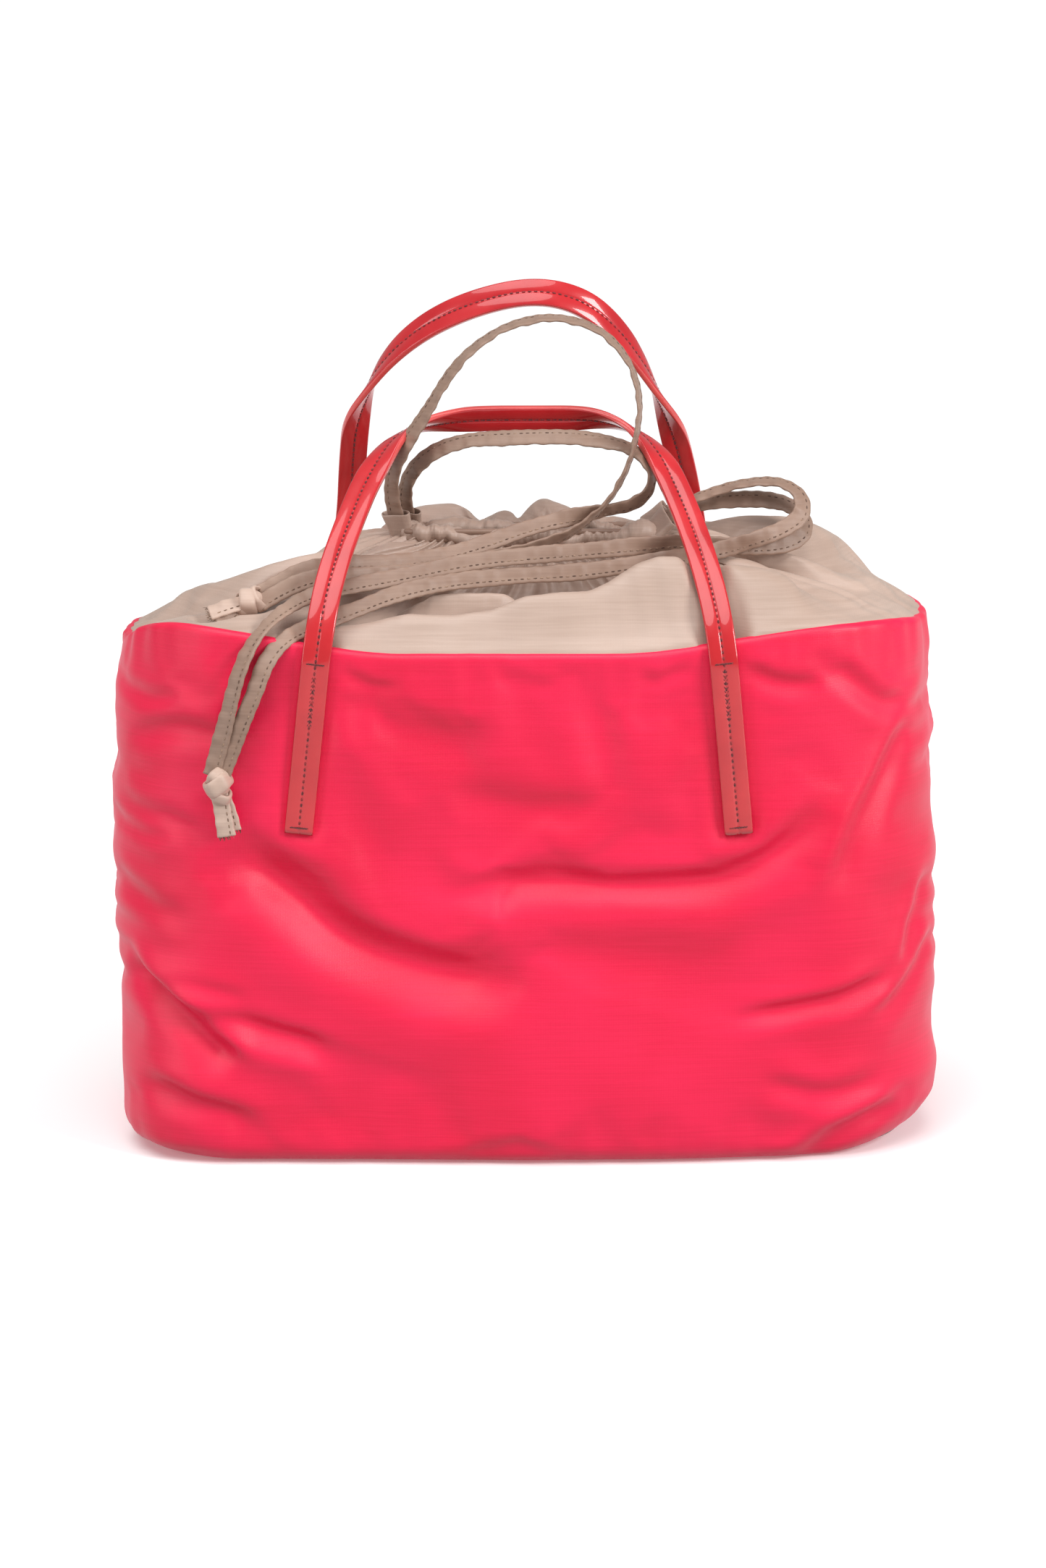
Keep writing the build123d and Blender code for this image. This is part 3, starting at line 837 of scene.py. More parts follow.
# The same for the back, with x as seen from behind.
BACK_FOLDS = [
    ([(-150, 170), (-110, 150), (-66, 134), (-20, 126), (24, 128)], 6.5, 13, 2.6, 22, 2.2, 24),
    ([(150, 120), (118, 100), (80, 86), (40, 80), (4, 84)], 5.2, 10, 2.2, 16, 2.0, 18),
    ([(190, 70), (172, 58), (150, 46), (124, 40)], 5.0, 7, 3.0, 10, 1.0, 10),
    ([(-188, 92), (-170, 80), (-148, 72), (-120, 66)], 4.6, 7, 2.8, 10, 1.0, 10),
    ([(-186, 40), (-164, 34), (-140, 24)], 3.4, 6, 2.0, 9, 0.6, 9),
    ([(30, 220), (4, 206), (-30, 198), (-60, 200)], 2.6, 9, 1.4, 14, 1.0, 14),
    ([(186, 222), (172, 204), (160, 184), (152, 160)], 3.4, 7, 2.2, 8, 0.0, 8),
    ([(104, 244), (122, 232), (146, 228)], 2.2, 6, 1.4, 8, 0.6, 8),
]


def smooth_points(points, count=60):
    """A Catmull-Rom line through a few points."""
    points = np.array(points, float)
    padded = np.vstack((2 * points[0] - points[1], points, 2 * points[-1] - points[-2]))
    share = np.linspace(0, len(points) - 1 - 1e-6, count)
    first = share.astype(int)
    t = (share - first)[:, None]
    a, b, c, d = padded[first], padded[first + 1], padded[first + 2], padded[first + 3]
    return 0.5 * (2 * b + (c - a) * t + (2 * a - 5 * b + 4 * c - d) * t ** 2
                  + (3 * b - a - 3 * c + d) * t ** 3)


def fold_depth(place, height, fold, centre_place):
    """How far a fold moves each point of the wall in or out. centre_place is the middle of its wall."""
    points, depth, width, lift_above, gap_above, lift_below, gap_below = fold
    line = smooth_points([(centre_place + along_front(x), z) for x, z in points])
    wrapped = along_outline(place, centre_place) + centre_place
    moved = np.zeros_like(place)
    reach = 3 * max(width, gap_above, gap_below)
    near = ((wrapped > line[:, 0].min() - reach) & (wrapped < line[:, 0].max() + reach)
            & (height > line[:, 1].min() - reach) & (height < line[:, 1].max() + reach))
    if not near.any():
        return moved
    here = np.column_stack((wrapped[near], height[near]))
    away = here[:, None] - line[None]
    distance = np.linalg.norm(away, axis=2)
    nearest = distance.argmin(axis=1)
    tangent = unit(np.gradient(line, axis=0))[nearest]
    offset = away[np.arange(len(here)), nearest]
    above = tangent[:, 0] * offset[:, 1] - tangent[:, 1] * offset[:, 0]
    if line[-1, 0] < line[0, 0]:
        above = -above
    beyond = np.sqrt(np.maximum(distance.min(axis=1) ** 2 - above ** 2, 0))
    share = nearest / (len(line) - 1)
    fade = smoothstep(share, 0, 0.22) * smoothstep(1 - share, 0, 0.22) * bell(beyond, width)
    hollow = -depth * bell(above, width)
    ridge_above = lift_above * bell(above - gap_above, 0.75 * gap_above)
    ridge_below = lift_below * bell(above + gap_below, 0.75 * gap_below)
    moved[near] = (hollow + ridge_above + ridge_below) * fade
    return moved


BASE_HEIGHT = 0.9
WALL_ROWS = 76
RIM_RADIUS = 3.4


def body_form():
    """The shell as a grid: rings of the base, the rounded bottom edge, the wall, the turned rim."""
    end_share = np.abs(outline_normals[:, 0])
    edge_radius = 10 + 5 * end_share + 5 * np.clip(outline_normals[:, 0], 0, 1)
    rings = []
    roles = []
    for share in np.linspace(0.03, 0.96, 13):
        inner = outline - outline_normals * edge_radius[:, None]
        rings.append(np.column_stack((inner * share, np.full(BODY_COLUMNS, BASE_HEIGHT))))
        roles.append("base")
    for angle in np.radians(np.linspace(0, 78, 7)):
        inset = edge_radius * (1 - math.sin(angle))
        height = edge_radius * (1 - math.cos(angle)) + BASE_HEIGHT
        rings.append(np.column_stack((outline - outline_normals * inset[:, None], height)))
        roles.append("edge")
    rim = rim_height(outline[:, 0], outline[:, 1])
    lowest = rings[-1][:, 2]
    for share in np.linspace(0, 1, WALL_ROWS)[1:]:
        rings.append(np.column_stack((outline, lowest + (rim - lowest) * share)))
        roles.append("wall")
    for angle in np.radians((30, 65, 100, 140, 180)):
        inset = RIM_RADIUS * (1 - math.cos(angle))
        rings.append(np.column_stack((outline - outline_normals * inset, rim + RIM_RADIUS * math.sin(angle))))
        roles.append("rim")
    for drop in (5, 12, 20):
        rings.append(np.column_stack((outline - outline_normals * (2 * RIM_RADIUS), rim - drop)))
        roles.append("rim")
    return np.array(rings), np.array(roles)


# The tabs of the handles: how far each stands from the middle, front and back, its splay and its ends.
TAB_FRONT = 97.5
TAB_BACK = 90.0
TAB_SPLAY = math.radians(4.6)
TAB_TOP = 248.0
TAB_LENGTH = 84.0


def wall_relief(x, height, rim, place, normal, wall):
    """How far the padding stands out from the plain wall: its barrel, folds, puckers and seams."""
    turn = 2 * np.pi * place / outline_span
    # barrel and padding between the seams
    level = np.clip(height / rim, 0, 1)
    barrel = np.sin(np.pi * level) ** 0.8
    front_share = np.maximum(-normal[..., 1], 0)
    back_share = np.maximum(normal[..., 1], 0)
    end_share = np.abs(normal[..., 0])
    span_share = np.clip(1 - np.abs(x) / HALF_LENGTH, 0, 1)
    out = barrel * (3.0 * end_share + 5.0 * back_share * span_share)
    rolls = np.sin(height / 3.3 + 2.6 * np.sin(height / 17.0)) * (0.6 + 0.4 * np.sin(height / 29 + 2 * turn))
    rolls += 0.8 * np.sin(height / 8.9 + 3 * turn)
    out += wall * 0.8 * smoothstep(end_share, 0.55, 1.0) * rolls
    out += front_share * barrel * 6.0 * span_share * smoothstep(150 - height, 0, 90)
    for fold in FRONT_FOLDS:
        out += fold_depth(place, height, fold, 0.0)
    for fold in BACK_FOLDS:
        out += fold_depth(place, height, fold, outline_span / 2)
    # broad unevenness of the padding
    out += wall * 1.2 * np.sin(4 * turn + height / 61) * np.sin(height / 29 - 2 * turn)
    out += wall * 0.5 * np.sin(10 * turn + 1.3 * np.sin(height / 23)) * np.sin(height / 13 + 5 * turn)
    # puckers where the cloth is sewn: along the rim, the bottom edge and the two side seams
    below_rim = rim - height
    gather = np.exp(-np.clip(below_rim, 0, None) / 10) * (0.35 + 0.65 * end_share + 0.65 * back_share)
    out += gather * (1.0 * ripples(place, 21, 1.0) + 0.6 * ripples(place, 9, 2.0))
    bottom = np.exp(-np.abs(height - 5) / 11)
    out += bottom * (0.9 * ripples(place, 26, 4.0) + 0.5 * ripples(place, 10, 5.0))
    for seam_place in (outline_span / 4, -outline_span / 4):
        off_seam = np.abs(along_outline(place, seam_place))
        out -= wall * 3.2 * bell(off_seam, 3.0)
        pucker = np.sin(height / 1.75 + 2.0 * np.sin(height / 9.0)) + 0.8 * np.sin(height / 3.9 + seam_place)
        out += wall * 1.1 * pucker * np.exp(-off_seam / 11)
    # the tabs press the padding flat
    for middle, wall_place in ((TAB_FRONT, 0.0), (TAB_BACK, outline_span / 2)):
        tab_place = middle + math.tan(TAB_SPLAY) * (TAB_TOP - height)
        for hand in (-1, 1):
            off_tab = np.abs(along_outline(place, wall_place) - hand * tab_place)
            pressed = (1 - smoothstep(off_tab, 7.5, 15)) * smoothstep(height, 156, 168)
            out = out * (1 - pressed) - pressed * 0.4
    return out


def shape_body(rings, roles):
    """Moves the plain grid into the slumped, folded shape of a soft bag standing on its base."""
    rows = len(rings)
    height = rings[..., 2]
    place = np.repeat(signed_place[None], rows, 0)
    normal = np.repeat(outline_normals[None], rows, 0)
    rim = rim_height(outline[:, 0], outline[:, 1])[None]
    wall = smoothstep(height, 2, 24) * (1 - smoothstep(height, rim - 9, rim))
    out = wall_relief(rings[..., 0], height, rim, place, normal, wall)
    out[roles == "base"] = 0
    edge_rows = roles == "edge"
    out[edge_rows] *= np.linspace(0.1, 1, edge_rows.sum())[:, None]
    shaped = rings.copy()
    shaped[..., :2] += normal * out[..., None]
    # the ridge of a fold hangs a little over the hollow below it
    shaped[..., 2] -= wall * np.clip(out, -2, 6) * 0.35
    # the drawstring pulls the ends of the rim round, most at the back
    drawn = smoothstep(height, 110, 262) * (0.35 + 0.65 * smoothstep(rings[..., 1], -60, 10))
    shaped[..., :2] += (drawn_outline - outline)[None] * drawn[..., None]
    lean_body(shaped, rings, roles)
    return shaped


def lean_body(shaped, rings, roles):
    """The whole bag leans: its right end stands out and back, its left end leans in at the top."""
    normal = outline_normals[None]
    front_share = np.maximum(-normal[..., 1], 0)
    span_share = np.clip(1 - np.abs(rings[..., 0]) / HALF_LENGTH, 0, 1)
    x = shaped[..., 0]
    z = shaped[..., 2]
    right = smoothstep(x, 60, 200)
    left = smoothstep(-x, 60, 200)
    shaped[..., 0] += right * 3.6 * smoothstep(150 - z, 0, 150)
    shaped[..., 0] += left * (6.5 - 3.0 * bell(z - 175, 60))
    shaped[..., 1] += right * (8.0 * smoothstep(90 - z, 0, 90) + 2.0) - left * 2.0
    foot = right * bell(z - 34, 13) * smoothstep(z, 4, 16)
    shaped[..., :2] += normal * (1.4 * foot)[..., None]
    shaped[..., 1] -= 5.0 * front_share * span_share * (1 - smoothstep(z, 10, 90))
    # the lower left corner stands out, and the lower right one lifts off the floor a little
    low = 1 - smoothstep(z, 20, 110)
    corner = np.clip(-normal[..., 0] * 1.4, 0, 1) * np.clip(-normal[..., 1] * 1.4, 0, 1)
    shaped[..., :2] += normal * (6.0 * corner * low * smoothstep(z, BASE_HEIGHT, 9))[..., None]
    lifted = smoothstep(x, 150, 200) * (roles != "base")[:, None]
    shaped[..., 2] += lifted * 4.0 * (1 - smoothstep(z, 0, 60))


def body_hold(vertices, roles):
    """How firmly each vertex of the shell is held while it settles: by the rim, the base and the tabs."""
    height = vertices[:, 2] / MM
    rim = np.tile(rim_height(outline[:, 0], outline[:, 1]), len(roles))
    side_x = np.abs(vertices[:, 0]) / MM
    tab_x = TAB_FRONT + math.tan(TAB_SPLAY) * (TAB_TOP - height)
    under_tab = (1 - smoothstep(np.abs(side_x - tab_x), 10, 24)) * smoothstep(height, 145, 160)
    holds = (np.where(np.repeat(roles, BODY_COLUMNS) == "wall", 0.0, 1.0),
             smoothstep(height, rim - 8, rim),
             1 - smoothstep(height, 4, 12),
             under_tab,
             0.03 + 0.1 * smoothstep(side_x, 150, 190))
    return np.max(holds, axis=0)


def add_body():
    rings, roles = body_form()
    shaped = shape_body(rings, roles)
    vertices = shaped.reshape(-1, 3) * MM
    faces = grid_faces(len(shaped), BODY_COLUMNS)
    faces.extend(strip_cap(BODY_COLUMNS))
    body = make_mesh("padded_shell", vertices, faces, [PINK])
    settle(body, body_hold(vertices, roles), frames=12, growth=0.008, pressure=0.2, cap=1.1 * MM,
           bending=2.0)
    subdivide(body)
    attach(body, "root")
    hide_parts("front_panel", "back_panel", "base_panel",
                "front_wadding", "back_wadding", "base_wadding")
    return shaped, roles


body_grid, body_roles = add_body()


def add_lining():
    """The smooth inner skin: it follows the wall at a distance and closes over the base."""
    wall_rows = body_grid[body_roles == "wall"][10::3, ::2]
    normals = outline_normals[::2]
    lowest = wall_rows[0, :, :2]
    level = np.ones(len(normals))
    inner = []
    for share in (0.03, 0.3, 0.6, 0.85):
        inner.append(np.column_stack((lowest * share, 9.0 * level)))
    inner.append(np.column_stack((lowest - normals * 22, 9.5 * level)))
    inner.append(np.column_stack((lowest - normals * 22 + normals * 8, 14.0 * level)))
    for ring in wall_rows:
        inner.append(np.column_stack((ring[:, :2] - normals * 9.0, ring[:, 2])))
    inner = np.array(inner)
    faces = grid_faces(len(inner), len(normals)) + strip_cap(len(normals))
    faces = [face[::-1] for face in faces]
    lining = make_mesh("inner_lining", inner.reshape(-1, 3) * MM, faces, [LINING])
    thicken(lining, 0.6)
    subdivide(lining)
    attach(lining, "root")
    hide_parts("lining_front", "lining_back", "lining_base")


add_lining()


# ---------------------------------------------------------------- the gathered collar
COLLAR_COLUMNS = 328
COLLAR_ROWS = 38


# How high the collar's front lip stands, in millimetres, and at which x.
LIP_PLACES = (-118, -92, -60, -35, -15, 2, 20, 38, 50, 68, 82, 105, 150, 175)
LIP_HEIGHTS = (0, 6, 15, 14.5, 17, 24, 25, 23.5, 26.5, 33, 35, 31, 16, 0)


def hem_outline(count, inset):
    """The drawn mouth from above: points and normals. Inset 0 is the cloth's edge, 1 the casing's middle."""
    turn = HEM_TURN - inset
    half_length = HEM_HALF_LENGTH - 5 * inset
    points, normals = rounded_outline(count, half_length, turn, turn * 0.999)[:2]
    return points + np.array(HEM_CENTRE), normals


def collar_form():
    """The collar's height and plan from the rim (row 0) up to the drawn hem (last row)."""
    crest = body_grid[np.nonzero(body_roles == "rim")[0][1]]
    column = np.arange(COLLAR_COLUMNS) * BODY_COLUMNS / COLLAR_COLUMNS
    rim_line = interpolate(column, np.arange(BODY_COLUMNS + 1), np.vstack((crest, crest[:1])))
    facing = outward_normals(rim_line)
    hem_line = hem_outline(COLLAR_COLUMNS, 0)[0]
    turn = 2 * np.pi * np.arange(COLLAR_COLUMNS) / COLLAR_COLUMNS
    front = np.clip(-facing[:, 1], 0, 1) ** 2
    back = np.clip(facing[:, 1], 0, 1) ** 2
    left = np.clip(-facing[:, 0], 0, 1) ** 2
    right = np.clip(facing[:, 0], 0, 1) ** 2
    middle = 1 - smoothstep(np.abs(rim_line[:, 0] - 5), 50, 140)
    fullness = 0.5 * front + 1.2 * left + 2.3 * right + back * (1.8 + 1.4 * middle)
    lip = front * np.interp(rim_line[:, 0], LIP_PLACES, LIP_HEIGHTS)
    lip_place = 0.13 + 0.13 * smoothstep(rim_line[:, 0], 0, 80)
    slack = front * (1 - smoothstep(np.abs(rim_line[:, 0] + 2), 62, 100))
    second = front * (1 - smoothstep(np.abs(rim_line[:, 0] + 38), 22, 52))
    rim = rim_line[:, 2] - 0.5
    rows = []
    for share in np.linspace(0, 1, COLLAR_ROWS):
        dome = 1 - (1 - share) ** fullness
        plan = rim_line[:, :2] + (hem_line - rim_line[:, :2]) * share ** 0.95
        height = rim + (HEM_HEIGHT - 1 - rim) * dome
        # the lip: a soft ridge just behind the front rim, a second one behind it, and the slack between
        height += lip * bell(share - lip_place, 0.6 * lip_place)
        height -= slack * 9.0 * bell(share - lip_place - 0.17, 0.08)
        height += second * 16.0 * bell(share - 0.40, 0.07)
        height -= slack * 15.0 * bell(share - 0.62, 0.13)
        # the right end stands up and folds over, the back puffs up behind the hem
        height += right * 3.0 * bell(share - 0.2, 0.12)
        height += back * middle * 5.0 * bell(share - 0.62, 0.2)
        rows.append(np.column_stack((plan, height)))
    return np.array(rows), turn


def collar_folds(rows, turn):
    """Gathers: many small pleats at the hem that merge into a few broad folds at the rim."""
    share = np.linspace(0, 1, len(rows))[:, None]
    angle = turn[None] + 0.10 * np.sin(3 * turn[None] + 5 * share) + 0.05 * np.sin(7 * turn[None] - 6 * share)

    def pleats(count, sharp, phase):
        """Uneven waves, count of them round the collar."""
        return signed_power(np.sin(count * angle + phase + 1.4 * np.sin(angle * (count // 4) + phase)), sharp)

    near_hem = smoothstep(share, 0.52, 0.98)
    middle = np.sin(np.pi * np.clip(share * 1.05, 0, 1)) ** 1.2
    low = smoothstep(share, 0.04, 0.3) * (1 - smoothstep(share, 0.5, 0.95))
    calm_front = 1 - 0.97 * smoothstep(np.cos(turn), 0.1, 0.8)[None] * (1 - smoothstep(share, 0.4, 0.62))
    push = 1.9 * near_hem * pleats(58, 0.8, 0.3)
    push += 2.4 * middle * smoothstep(share, 0.5, 0.85) * pleats(29, 0.8, 1.1)
    push += 4.2 * middle * smoothstep(share, 0.1, 0.5) * pleats(13, 0.85, 2.3) * calm_front
    push += 4.4 * low * pleats(7, 0.9, 0.9) * calm_front
    ends = np.abs(np.sin(turn))[None] ** 2
    upright = smoothstep(share, 0.02, 0.2) * (1 - smoothstep(share, 0.7, 1.0))
    push += 2.6 * ends * upright * pleats(17, 0.7, 2.0)
    along_rows = np.gradient(rows, axis=0)
    along_columns = (np.roll(rows, -1, 1) - np.roll(rows, 1, 1)) / 2
    normals = unit(np.cross(along_columns, along_rows))
    return rows + normals * push[..., None]


# The tapes and the handles touch the collar only where they are higher than this, in metres. Below it,
# the tapes hang down the front and the handles are sewn to the body.
TAPES_LIE_ABOVE = 0.261
HANDLES_LIE_ABOVE = 0.247


def lie_under(points, line, clearance, half_width, slope):
    """Lowers the cloth, in metres, under a line that lies on it: a trough that widens with the slope."""
    reach = 0.03
    low = line.min(0) - reach
    high = line.max(0) + reach
    near = np.all((points[:, :2] > low[:2]) & (points[:, :2] < high[:2]), axis=1)
    some = points[near]
    away = np.linalg.norm(some[:, None, :2] - line[None, :, :2], axis=2)
    ceiling = line[None, :, 2] - clearance + slope * np.clip(away - half_width, 0, None)
    lowered = points.copy()
    lowered[near, 2] = np.minimum(some[:, 2], ceiling.min(axis=1))
    return lowered


def add_collar():
    rows, turn = collar_form()
    rows = collar_folds(rows, turn)
    # the collar's lowest rows go down into the turned rim, where it is sewn
    sunk = rows[:1] - np.array((0.0, 0.0, 6.0))
    rows = np.concatenate((sunk, rows))
    vertices = rows.reshape(-1, 3) * MM
    collar = make_mesh("drawstring_collar", vertices, grid_faces(len(rows), COLLAR_COLUMNS), [BEIGE])
    # held at the rim, at the hem, and in the calm low rows of the front
    held = np.full(rows.shape[:2], 0.01)
    held[:3] = 1
    held[-2:] = 1
    calm = smoothstep(np.cos(turn), -0.1, 0.6)
    held[3:15] = np.maximum(held[3:15], calm)
    settle(collar, held.ravel(), frames=16, growth=0.035, pressure=0.3, cap=4.0 * MM, bending=0.8)
    points = positions(collar.data)
    for path in tape_paths.values():
        above = path.points[path.points[:, 2] > TAPES_LIE_ABOVE]
        points = lie_under(points, above[::3], clearance=0.0046, half_width=0.0025, slope=0.9)
    for path in handle_paths.values():
        above = path.points[path.points[:, 2] > HANDLES_LIE_ABOVE]
        points = lie_under(points, above[::2], clearance=0.002, half_width=0.0085, slope=2.5)
    points = lie_under(points, LEFT_KNOT[None], clearance=0.0075, half_width=0.005, slope=0.8)
    points = lie_under(points, LEFT_TAIL_LINE, clearance=0.0036, half_width=0.005, slope=0.9)
    place_vertices(collar.data, points)
    subdivide(collar)
    thicken(collar, 0.5)
    apply_modifiers(collar)
    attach(collar, "root")
    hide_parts("collar_front", "collar_back")
    return collar


# A sleeve goes from its root inside the casing to its reach outside it.
SLEEVE_ROOT = 0.008
SLEEVE_HALF_WIDTH = 0.0068
SLEEVE_HALF_THICKNESS = 0.0027
SLEEVE_REACH = 0.0065
SLEEVE_WALL = 0.0006


def add_sleeve(parts, path, seed):
    """The casing's open end round a tape: a flattened, creased sleeve with a turned edge."""
    angle = full_turn(28)
    side_share = signed_power(np.cos(angle), 0.7)
    rise_share = signed_power(np.sin(angle), 0.8)
    out = np.linspace(-SLEEVE_ROOT, SLEEVE_REACH, 9)
    stations = [(reach, 0.0) for reach in out] + [(reach, SLEEVE_WALL) for reach in out[::-1][:6]]
    rings = []
    for reach, inset in stations:
        point, tangent, side, normal = path.frame_at(max(reach, 0.0))
        if reach < 0:
            point = point + tangent * reach
        flare = 1 + 0.18 * max(reach, 0) / SLEEVE_REACH
        crease = 1 + 0.12 * np.sin(3 * angle + seed + 60 * reach) + 0.06 * np.sin(7 * angle + 2 * seed)
        half_width = SLEEVE_HALF_WIDTH * flare * (1 + 0.05 * np.sin(2 * angle + seed)) - inset
        half_thick = SLEEVE_HALF_THICKNESS * flare * crease - inset
        rings.append(point + side * (side_share * half_width)[:, None]
                     + normal * (rise_share * half_thick)[:, None])
    parts.add(np.array(rings).reshape(-1, 3), capped_faces(len(rings), len(angle)))


def add_hem(collar):
    """The casing that the tapes run in: a puckered tube round the drawn mouth, and its open ends."""
    turn = full_turn(300)
    angle = full_turn(18)
    centre_line, normals = hem_outline(len(turn), 1)
    # the gathers crowd together at the left end and lie loose at the right
    crowd = turn + 0.5 * np.sin(turn) + 0.12 * np.sin(5 * turn + 1)
    across = angle[None]
    pleat = np.sin((32 * crowd + 2.2 * np.sin(7 * turn))[:, None] + across)
    small = np.sin((83 * crowd + 1.8 * np.sin(11 * turn))[:, None] - 2 * across)
    tight = 0.75 + 0.35 * np.sin(3 * turn + 0.6) + 0.5 * smoothstep(-centre_line[:, 0], 20, 60)
    radius = 4.6 + (0.65 * pleat + 0.45 * small) * tight[:, None] + 0.7 * np.sin(4 * turn + 2)[:, None]
    radius *= 1 + 0.12 * np.cos(2 * across + 2 * np.sin(6 * turn)[:, None])
    lift = 1.3 * np.sin(5 * turn + 1) + 0.8 * np.sin(11 * turn) - 1.5 * smoothstep(np.cos(turn), 0.2, 0.9)
    outward = np.column_stack((normals, np.zeros(len(turn))))
    middle = np.column_stack((centre_line, HEM_HEIGHT + 0.2 + lift))
    rings = (middle[:, None] + outward[:, None] * (radius * np.cos(angle)[None])[..., None]
             + np.array((0, 0, 1.0)) * (radius * np.sin(angle)[None])[..., None])
    parts = Parts()
    parts.add(rings.reshape(-1, 3) * MM, looped_faces(len(turn), len(angle)))
    for name, path in tape_paths.items():
        add_sleeve(parts, path, len(name))
    hem = parts.build("gathered_hem", [BEIGE, TAPE_THREAD])
    subdivide(hem)
    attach(hem, "root")
    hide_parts("hem_front", "hem_back")


# ---------------------------------------------------------------- the handles
STRAP_WIDTH = 0.0135
STRAP_THICKNESS = 0.0035
FRONT_ARCH = [(-95.5, -87.6, 246), (-93.5, -86, 262), (-89, -70, 284), (-81, -46, 305), (-71, -20, 326),
              (-55, 4, 344), (-26, 11, 347), (14, 11, 347), (48, 9, 347.5), (67, -7, 334), (79, -32, 311),
              (88, -60, 289), (94.5, -84, 264), (96.5, -87.6, 246)]
BACK_ARCH = [(-90, 87.75, 249.2), (-88, 85.5, 264), (-84, 76, 288), (-82.5, 66, 315), (-80, 55, 342),
             (-69, 44, 366), (-50, 37, 386), (-24, 30, 400), (6, 26, 407.5), (30, 28, 402.5), (48, 33, 387),
             (62, 40, 366), (73, 50, 343), (80, 62, 318), (85, 74, 292), (89, 85.5, 265), (90, 87.75, 249.2)]
# How the strap's face turns from an arch's left foot to its middle; the right half mirrors it.
FRONT_FACING = [(0, (0, -1, 0)), (0.25, (0, -0.8, 0.6)), (0.55, (-0.1, -0.7, 0.7)),
                (0.75, (-0.75, 0.1, 0.65)), (0.88, (0, 0.9, 0.44)), (1, (0, 0.9, 0.44))]
BACK_FACING = [(0, (0, 1, 0)), (0.4, (-0.1, 1, 0.1)), (0.6, (-1, 0, 0.1)), (0.72, (-0.6, -0.6, 0.5)),
               (0.85, (0, -0.85, 0.52)), (1, (0, -0.85, 0.52))]
handle_paths = {}


def handle_line(arch, side, tab_middle):
    """Tab foot, tab, arch, tab: one line in metres. side is -1 for the front, 1 for the back."""
    foot_x = tab_middle + math.tan(TAB_SPLAY) * TAB_LENGTH
    foot_y = side * (HALF_DEPTH + 1.9)
    feet = np.array([(hand * foot_x, foot_y, TAB_TOP - TAB_LENGTH) for hand in (-1, 1)])
    arch_line = nurbs_line("arch", (np.array(arch, float) * MM).tolist()) / MM
    share = np.linspace(0, 1, 12)[:-1, None]
    left = feet[0] + (arch_line[0] - feet[0]) * share
    right = feet[1] + (arch_line[-1] - feet[1]) * share
    return np.vstack((left, arch_line, right[::-1])) * MM


def handle_facing(facing, side, arch_share):
    """The face directions of the arch's left half, mirrored, with the tabs facing straight out."""
    straight_out = (0, side, 0)
    tab_share = (1 - arch_share) / 2
    whole = [(0, straight_out), (tab_share, straight_out)]
    for share, direction in facing:
        whole.append((tab_share + arch_share * share / 2, direction))
    for share, (x, y, z) in facing[::-1]:
        whole.append((1 - tab_share - arch_share * share / 2, (-x, y, z)))
    whole += [(1 - tab_share, straight_out), (1, straight_out)]
    spaced = []
    for share, direction in whole:
        while spaced and share <= spaced[-1][0]:
            share += 1e-4
        spaced.append((share, direction))
    return spaced


def strap_outline(path):
    """The strap's section: two soft crowns beside the sewn centre line, and square cut edges."""
    across = np.array((-1.0, -0.95, -0.88, -0.55, -0.2, -0.09, 0, 0.09, 0.2, 0.55, 0.88, 0.95, 1.0))
    crown = np.array((0.70, 0.88, 0.95, 1.0, 0.96, 0.84, 0.66, 0.84, 0.96, 1.0, 0.95, 0.88, 0.70))
    top = np.column_stack((across * (STRAP_WIDTH / 2), crown * STRAP_THICKNESS / 2))
    bottom = top[::-1] * np.array((1, -1))
    section = np.vstack((top, bottom))[::-1]
    return np.repeat(section[None], len(path.points), 0)


# The strap's materials, by their places in its list.
STITCHED = 1
CUT_EDGE = 2
# how deep the sewn groove along the strap's middle lies, as a share of its half thickness
GROOVE = 0.72


def add_bar_tacks(parts, path, tab_run):
    """Cross-wise bar tacks at the foot and the head of each tab: close stitches side by side."""
    foot = 0.0032
    head = tab_run - 0.0015
    for centre in (foot, head, path.length - tab_run + 0.0015, path.length - foot):
        for offset in np.arange(-0.0036, 0.0037, 0.0012):
            parts.add(*stitches(path, offset, STRAP_THICKNESS / 2, pitch=0.0022, length=0.0016,
                                radius=0.00036, start=centre - 0.0012, end=centre + 0.0013, slant=1.35),
                      STITCHED)


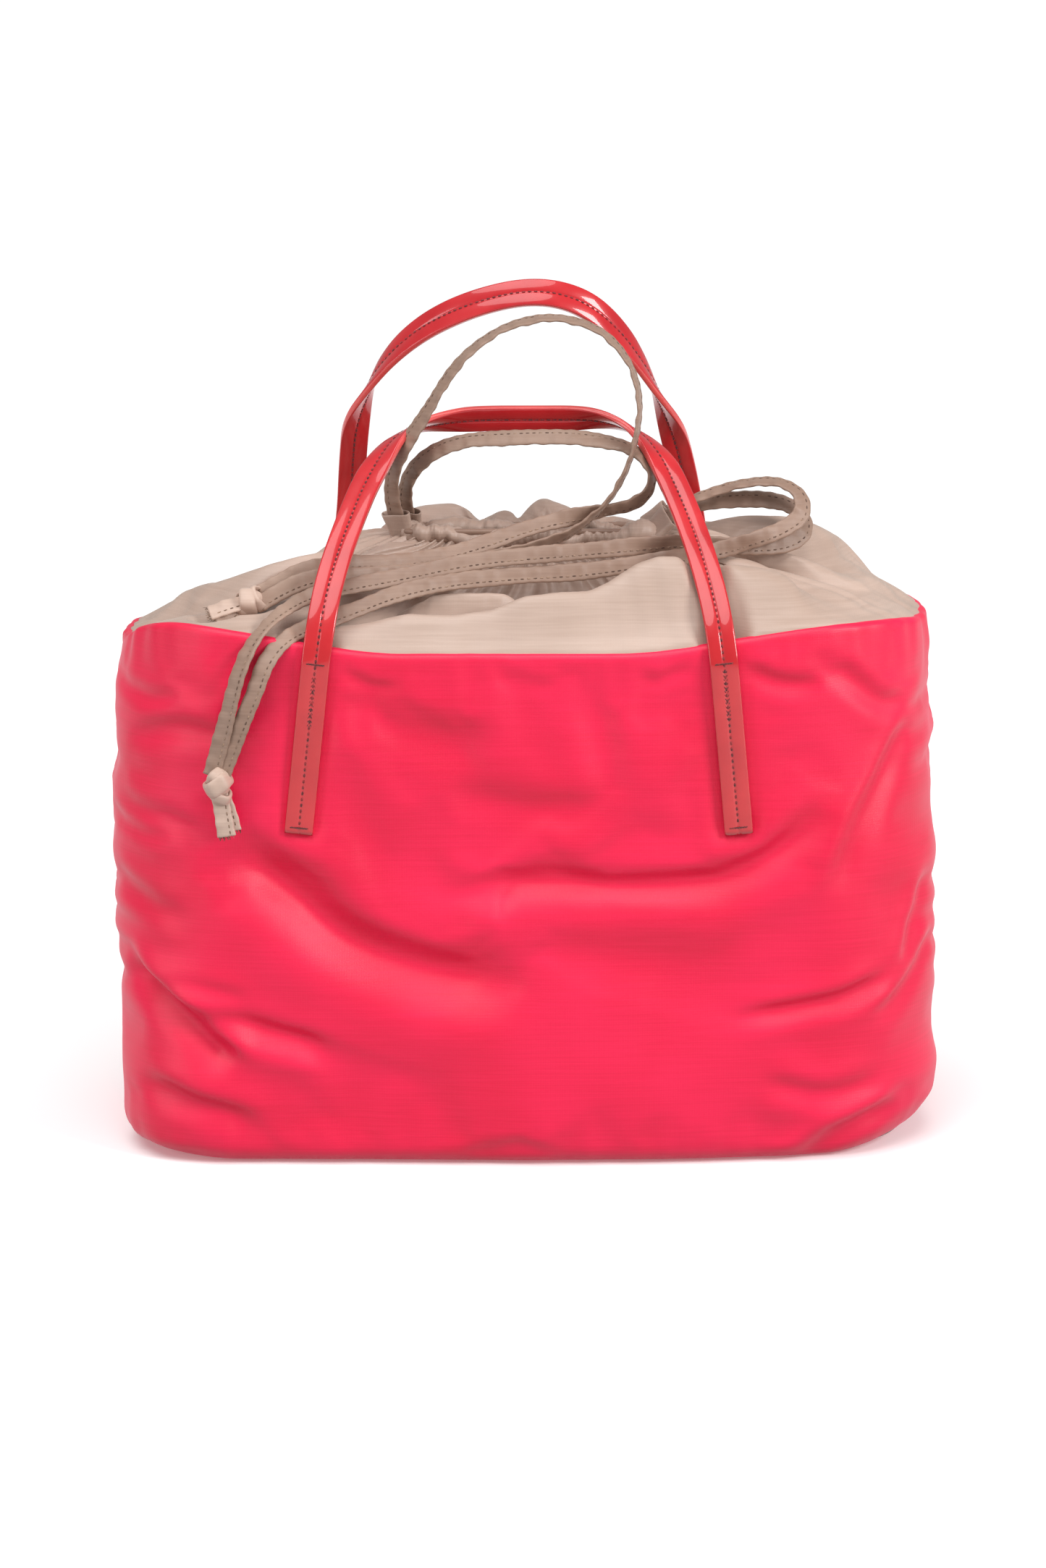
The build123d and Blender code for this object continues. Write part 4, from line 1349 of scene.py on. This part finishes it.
def add_handle(name, arch, facing, side, tab_middle):
    line = handle_line(arch, side, tab_middle)
    run = np.linalg.norm(np.diff(line, axis=0), axis=1).sum()
    tab_run = TAB_LENGTH * MM
    arch_share = 1 - 2 * (tab_run - 0.003) / run
    path = Path(line, handle_facing(facing, side, arch_share), step=0.0022)
    handle_paths[name] = path
    parts = Parts()
    outline = strap_outline(path)
    around = outline.shape[1]
    vertices, faces = sweep(path, outline)
    parts.add(vertices, faces)
    # the strap's two long edges and its two ends are cut
    for number in range(len(faces) - 2):
        if number % around in (around // 2 - 1, around - 1):
            parts.indices[number] = CUT_EDGE
    parts.indices[-2:] = [CUT_EDGE, CUT_EDGE]
    groove = STRAP_THICKNESS / 2 * GROOVE
    for face in (1, -1):
        parts.add(*stitches(path, 0.0, face * groove, pitch=0.0029, length=0.0019, radius=0.00050,
                            start=0.004, end=path.length - 0.004), STITCHED)
    # each tab is sewn down a second time, with a small zigzag beside the middle row
    for start in (0.052, path.length - tab_run + 0.004):
        for offset, slant in ((-0.0009, 0.45), (0.0008, -0.5)):
            parts.add(*stitches(path, offset, groove + 0.0001, pitch=0.0019, length=0.0017, radius=0.00026,
                                start=start, end=start + 0.026, slant=slant), STITCHED)
    add_bar_tacks(parts, path, tab_run)
    handle = parts.build(name, [STRAP, RED_THREAD, STRAP_EDGE])
    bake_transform(handle)
    cad = "front" if side < 0 else "back"
    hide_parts(f"{cad}_handle_strap", f"{cad}_left_tab", f"{cad}_right_tab", f"{cad}_bar_tacks")


add_handle("front_handle_strap_and_tabs", FRONT_ARCH, FRONT_FACING, -1, TAB_FRONT)
add_handle("back_handle_strap_and_tabs", BACK_ARCH, BACK_FACING, 1, TAB_BACK)
add_hem(add_collar())


# ---------------------------------------------------------------- CAD nodes that stay
def finish_node(name, material):
    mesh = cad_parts[name].data
    mesh.materials.clear()
    mesh.materials.append(material)


finish_node("base_board", BOARD)
for side in ("front", "back"):
    finish_node(side + "_reinforcement_patches", LINING)
for hand in ("left", "right"):
    finish_node(hand + "_drawstring_in_hem", TAPE)


# ---------------------------------------------------------------- studio
LIT_PLACE = (0, 0, 0.2)


def add_softbox(name, place, width, height, power):
    """A rectangular light that looks at the middle of the bag."""
    data = bpy.data.lights.new(name, "AREA")
    data.shape = "RECTANGLE"
    data.size = width
    data.size_y = height
    data.energy = power
    light = bpy.data.objects.new(name, data)
    bpy.context.scene.collection.objects.link(light)
    light.location = place
    light.rotation_mode = "QUATERNION"
    light.rotation_quaternion = (Vector(LIT_PLACE) - Vector(place)).to_track_quat("-Z", "Y")


def add_sun(name, tilt_x, tilt_y, power, spread):
    """A wide sun from above. The tilts and the spread are in degrees."""
    data = bpy.data.lights.new(name, "SUN")
    data.energy = power
    data.angle = math.radians(spread)
    light = bpy.data.objects.new(name, data)
    light.rotation_euler = (math.radians(tilt_x), math.radians(tilt_y), 0)
    bpy.context.scene.collection.objects.link(light)


def add_floor():
    size = 12.0
    floor = make_mesh("floor", [(-size, -size, 0), (size, -size, 0), (size, size, 0), (-size, size, 0)],
                      [(0, 1, 2, 3)], [])
    shader = Shader("white_floor", Roughness=0.9, Specular_IOR_Level=0.0, Emission_Color=WHITE,
                    Emission_Strength=0.12)
    speck = shader.noise(3, detail=2.0)
    shader.colours(speck, 0.2, (0.93, 0.93, 0.93, 1), 0.8, (0.96, 0.96, 0.96, 1))
    floor.data.materials.append(shader.material)
    floor.visible_diffuse = False


def add_world():
    """A white surround. It lights the bag less than it shows."""
    world = bpy.data.worlds.new("studio")
    bpy.context.scene.world = world
    world.use_nodes = True
    nodes = world.node_tree.nodes
    links = world.node_tree.links
    choice = nodes.new("ShaderNodeMixShader")
    links.new(nodes.new("ShaderNodeLightPath").outputs["Is Camera Ray"], choice.inputs["Fac"])
    dim = nodes["Background"]
    plain = nodes.new("ShaderNodeBackground")
    for number, (background, strength) in enumerate(((dim, 0.40), (plain, 1.05)), start=1):
        background.inputs["Color"].default_value = WHITE
        background.inputs["Strength"].default_value = strength
        links.new(background.outputs[0], choice.inputs[number])
    links.new(choice.outputs[0], nodes["World Output"].inputs["Surface"])


add_floor()
add_world()
add_sun("overhead", 22, -10, power=1.9, spread=50)
add_softbox("key_softbox", (1.5, -1.15, 1.1), width=0.7, height=0.7, power=26)
add_softbox("fill_softbox", (-1.6, -1.3, 0.7), width=0.6, height=1.0, power=8)
bpy.context.scene.view_settings.view_transform = "Standard"
bpy.context.scene.view_settings.look = "None"
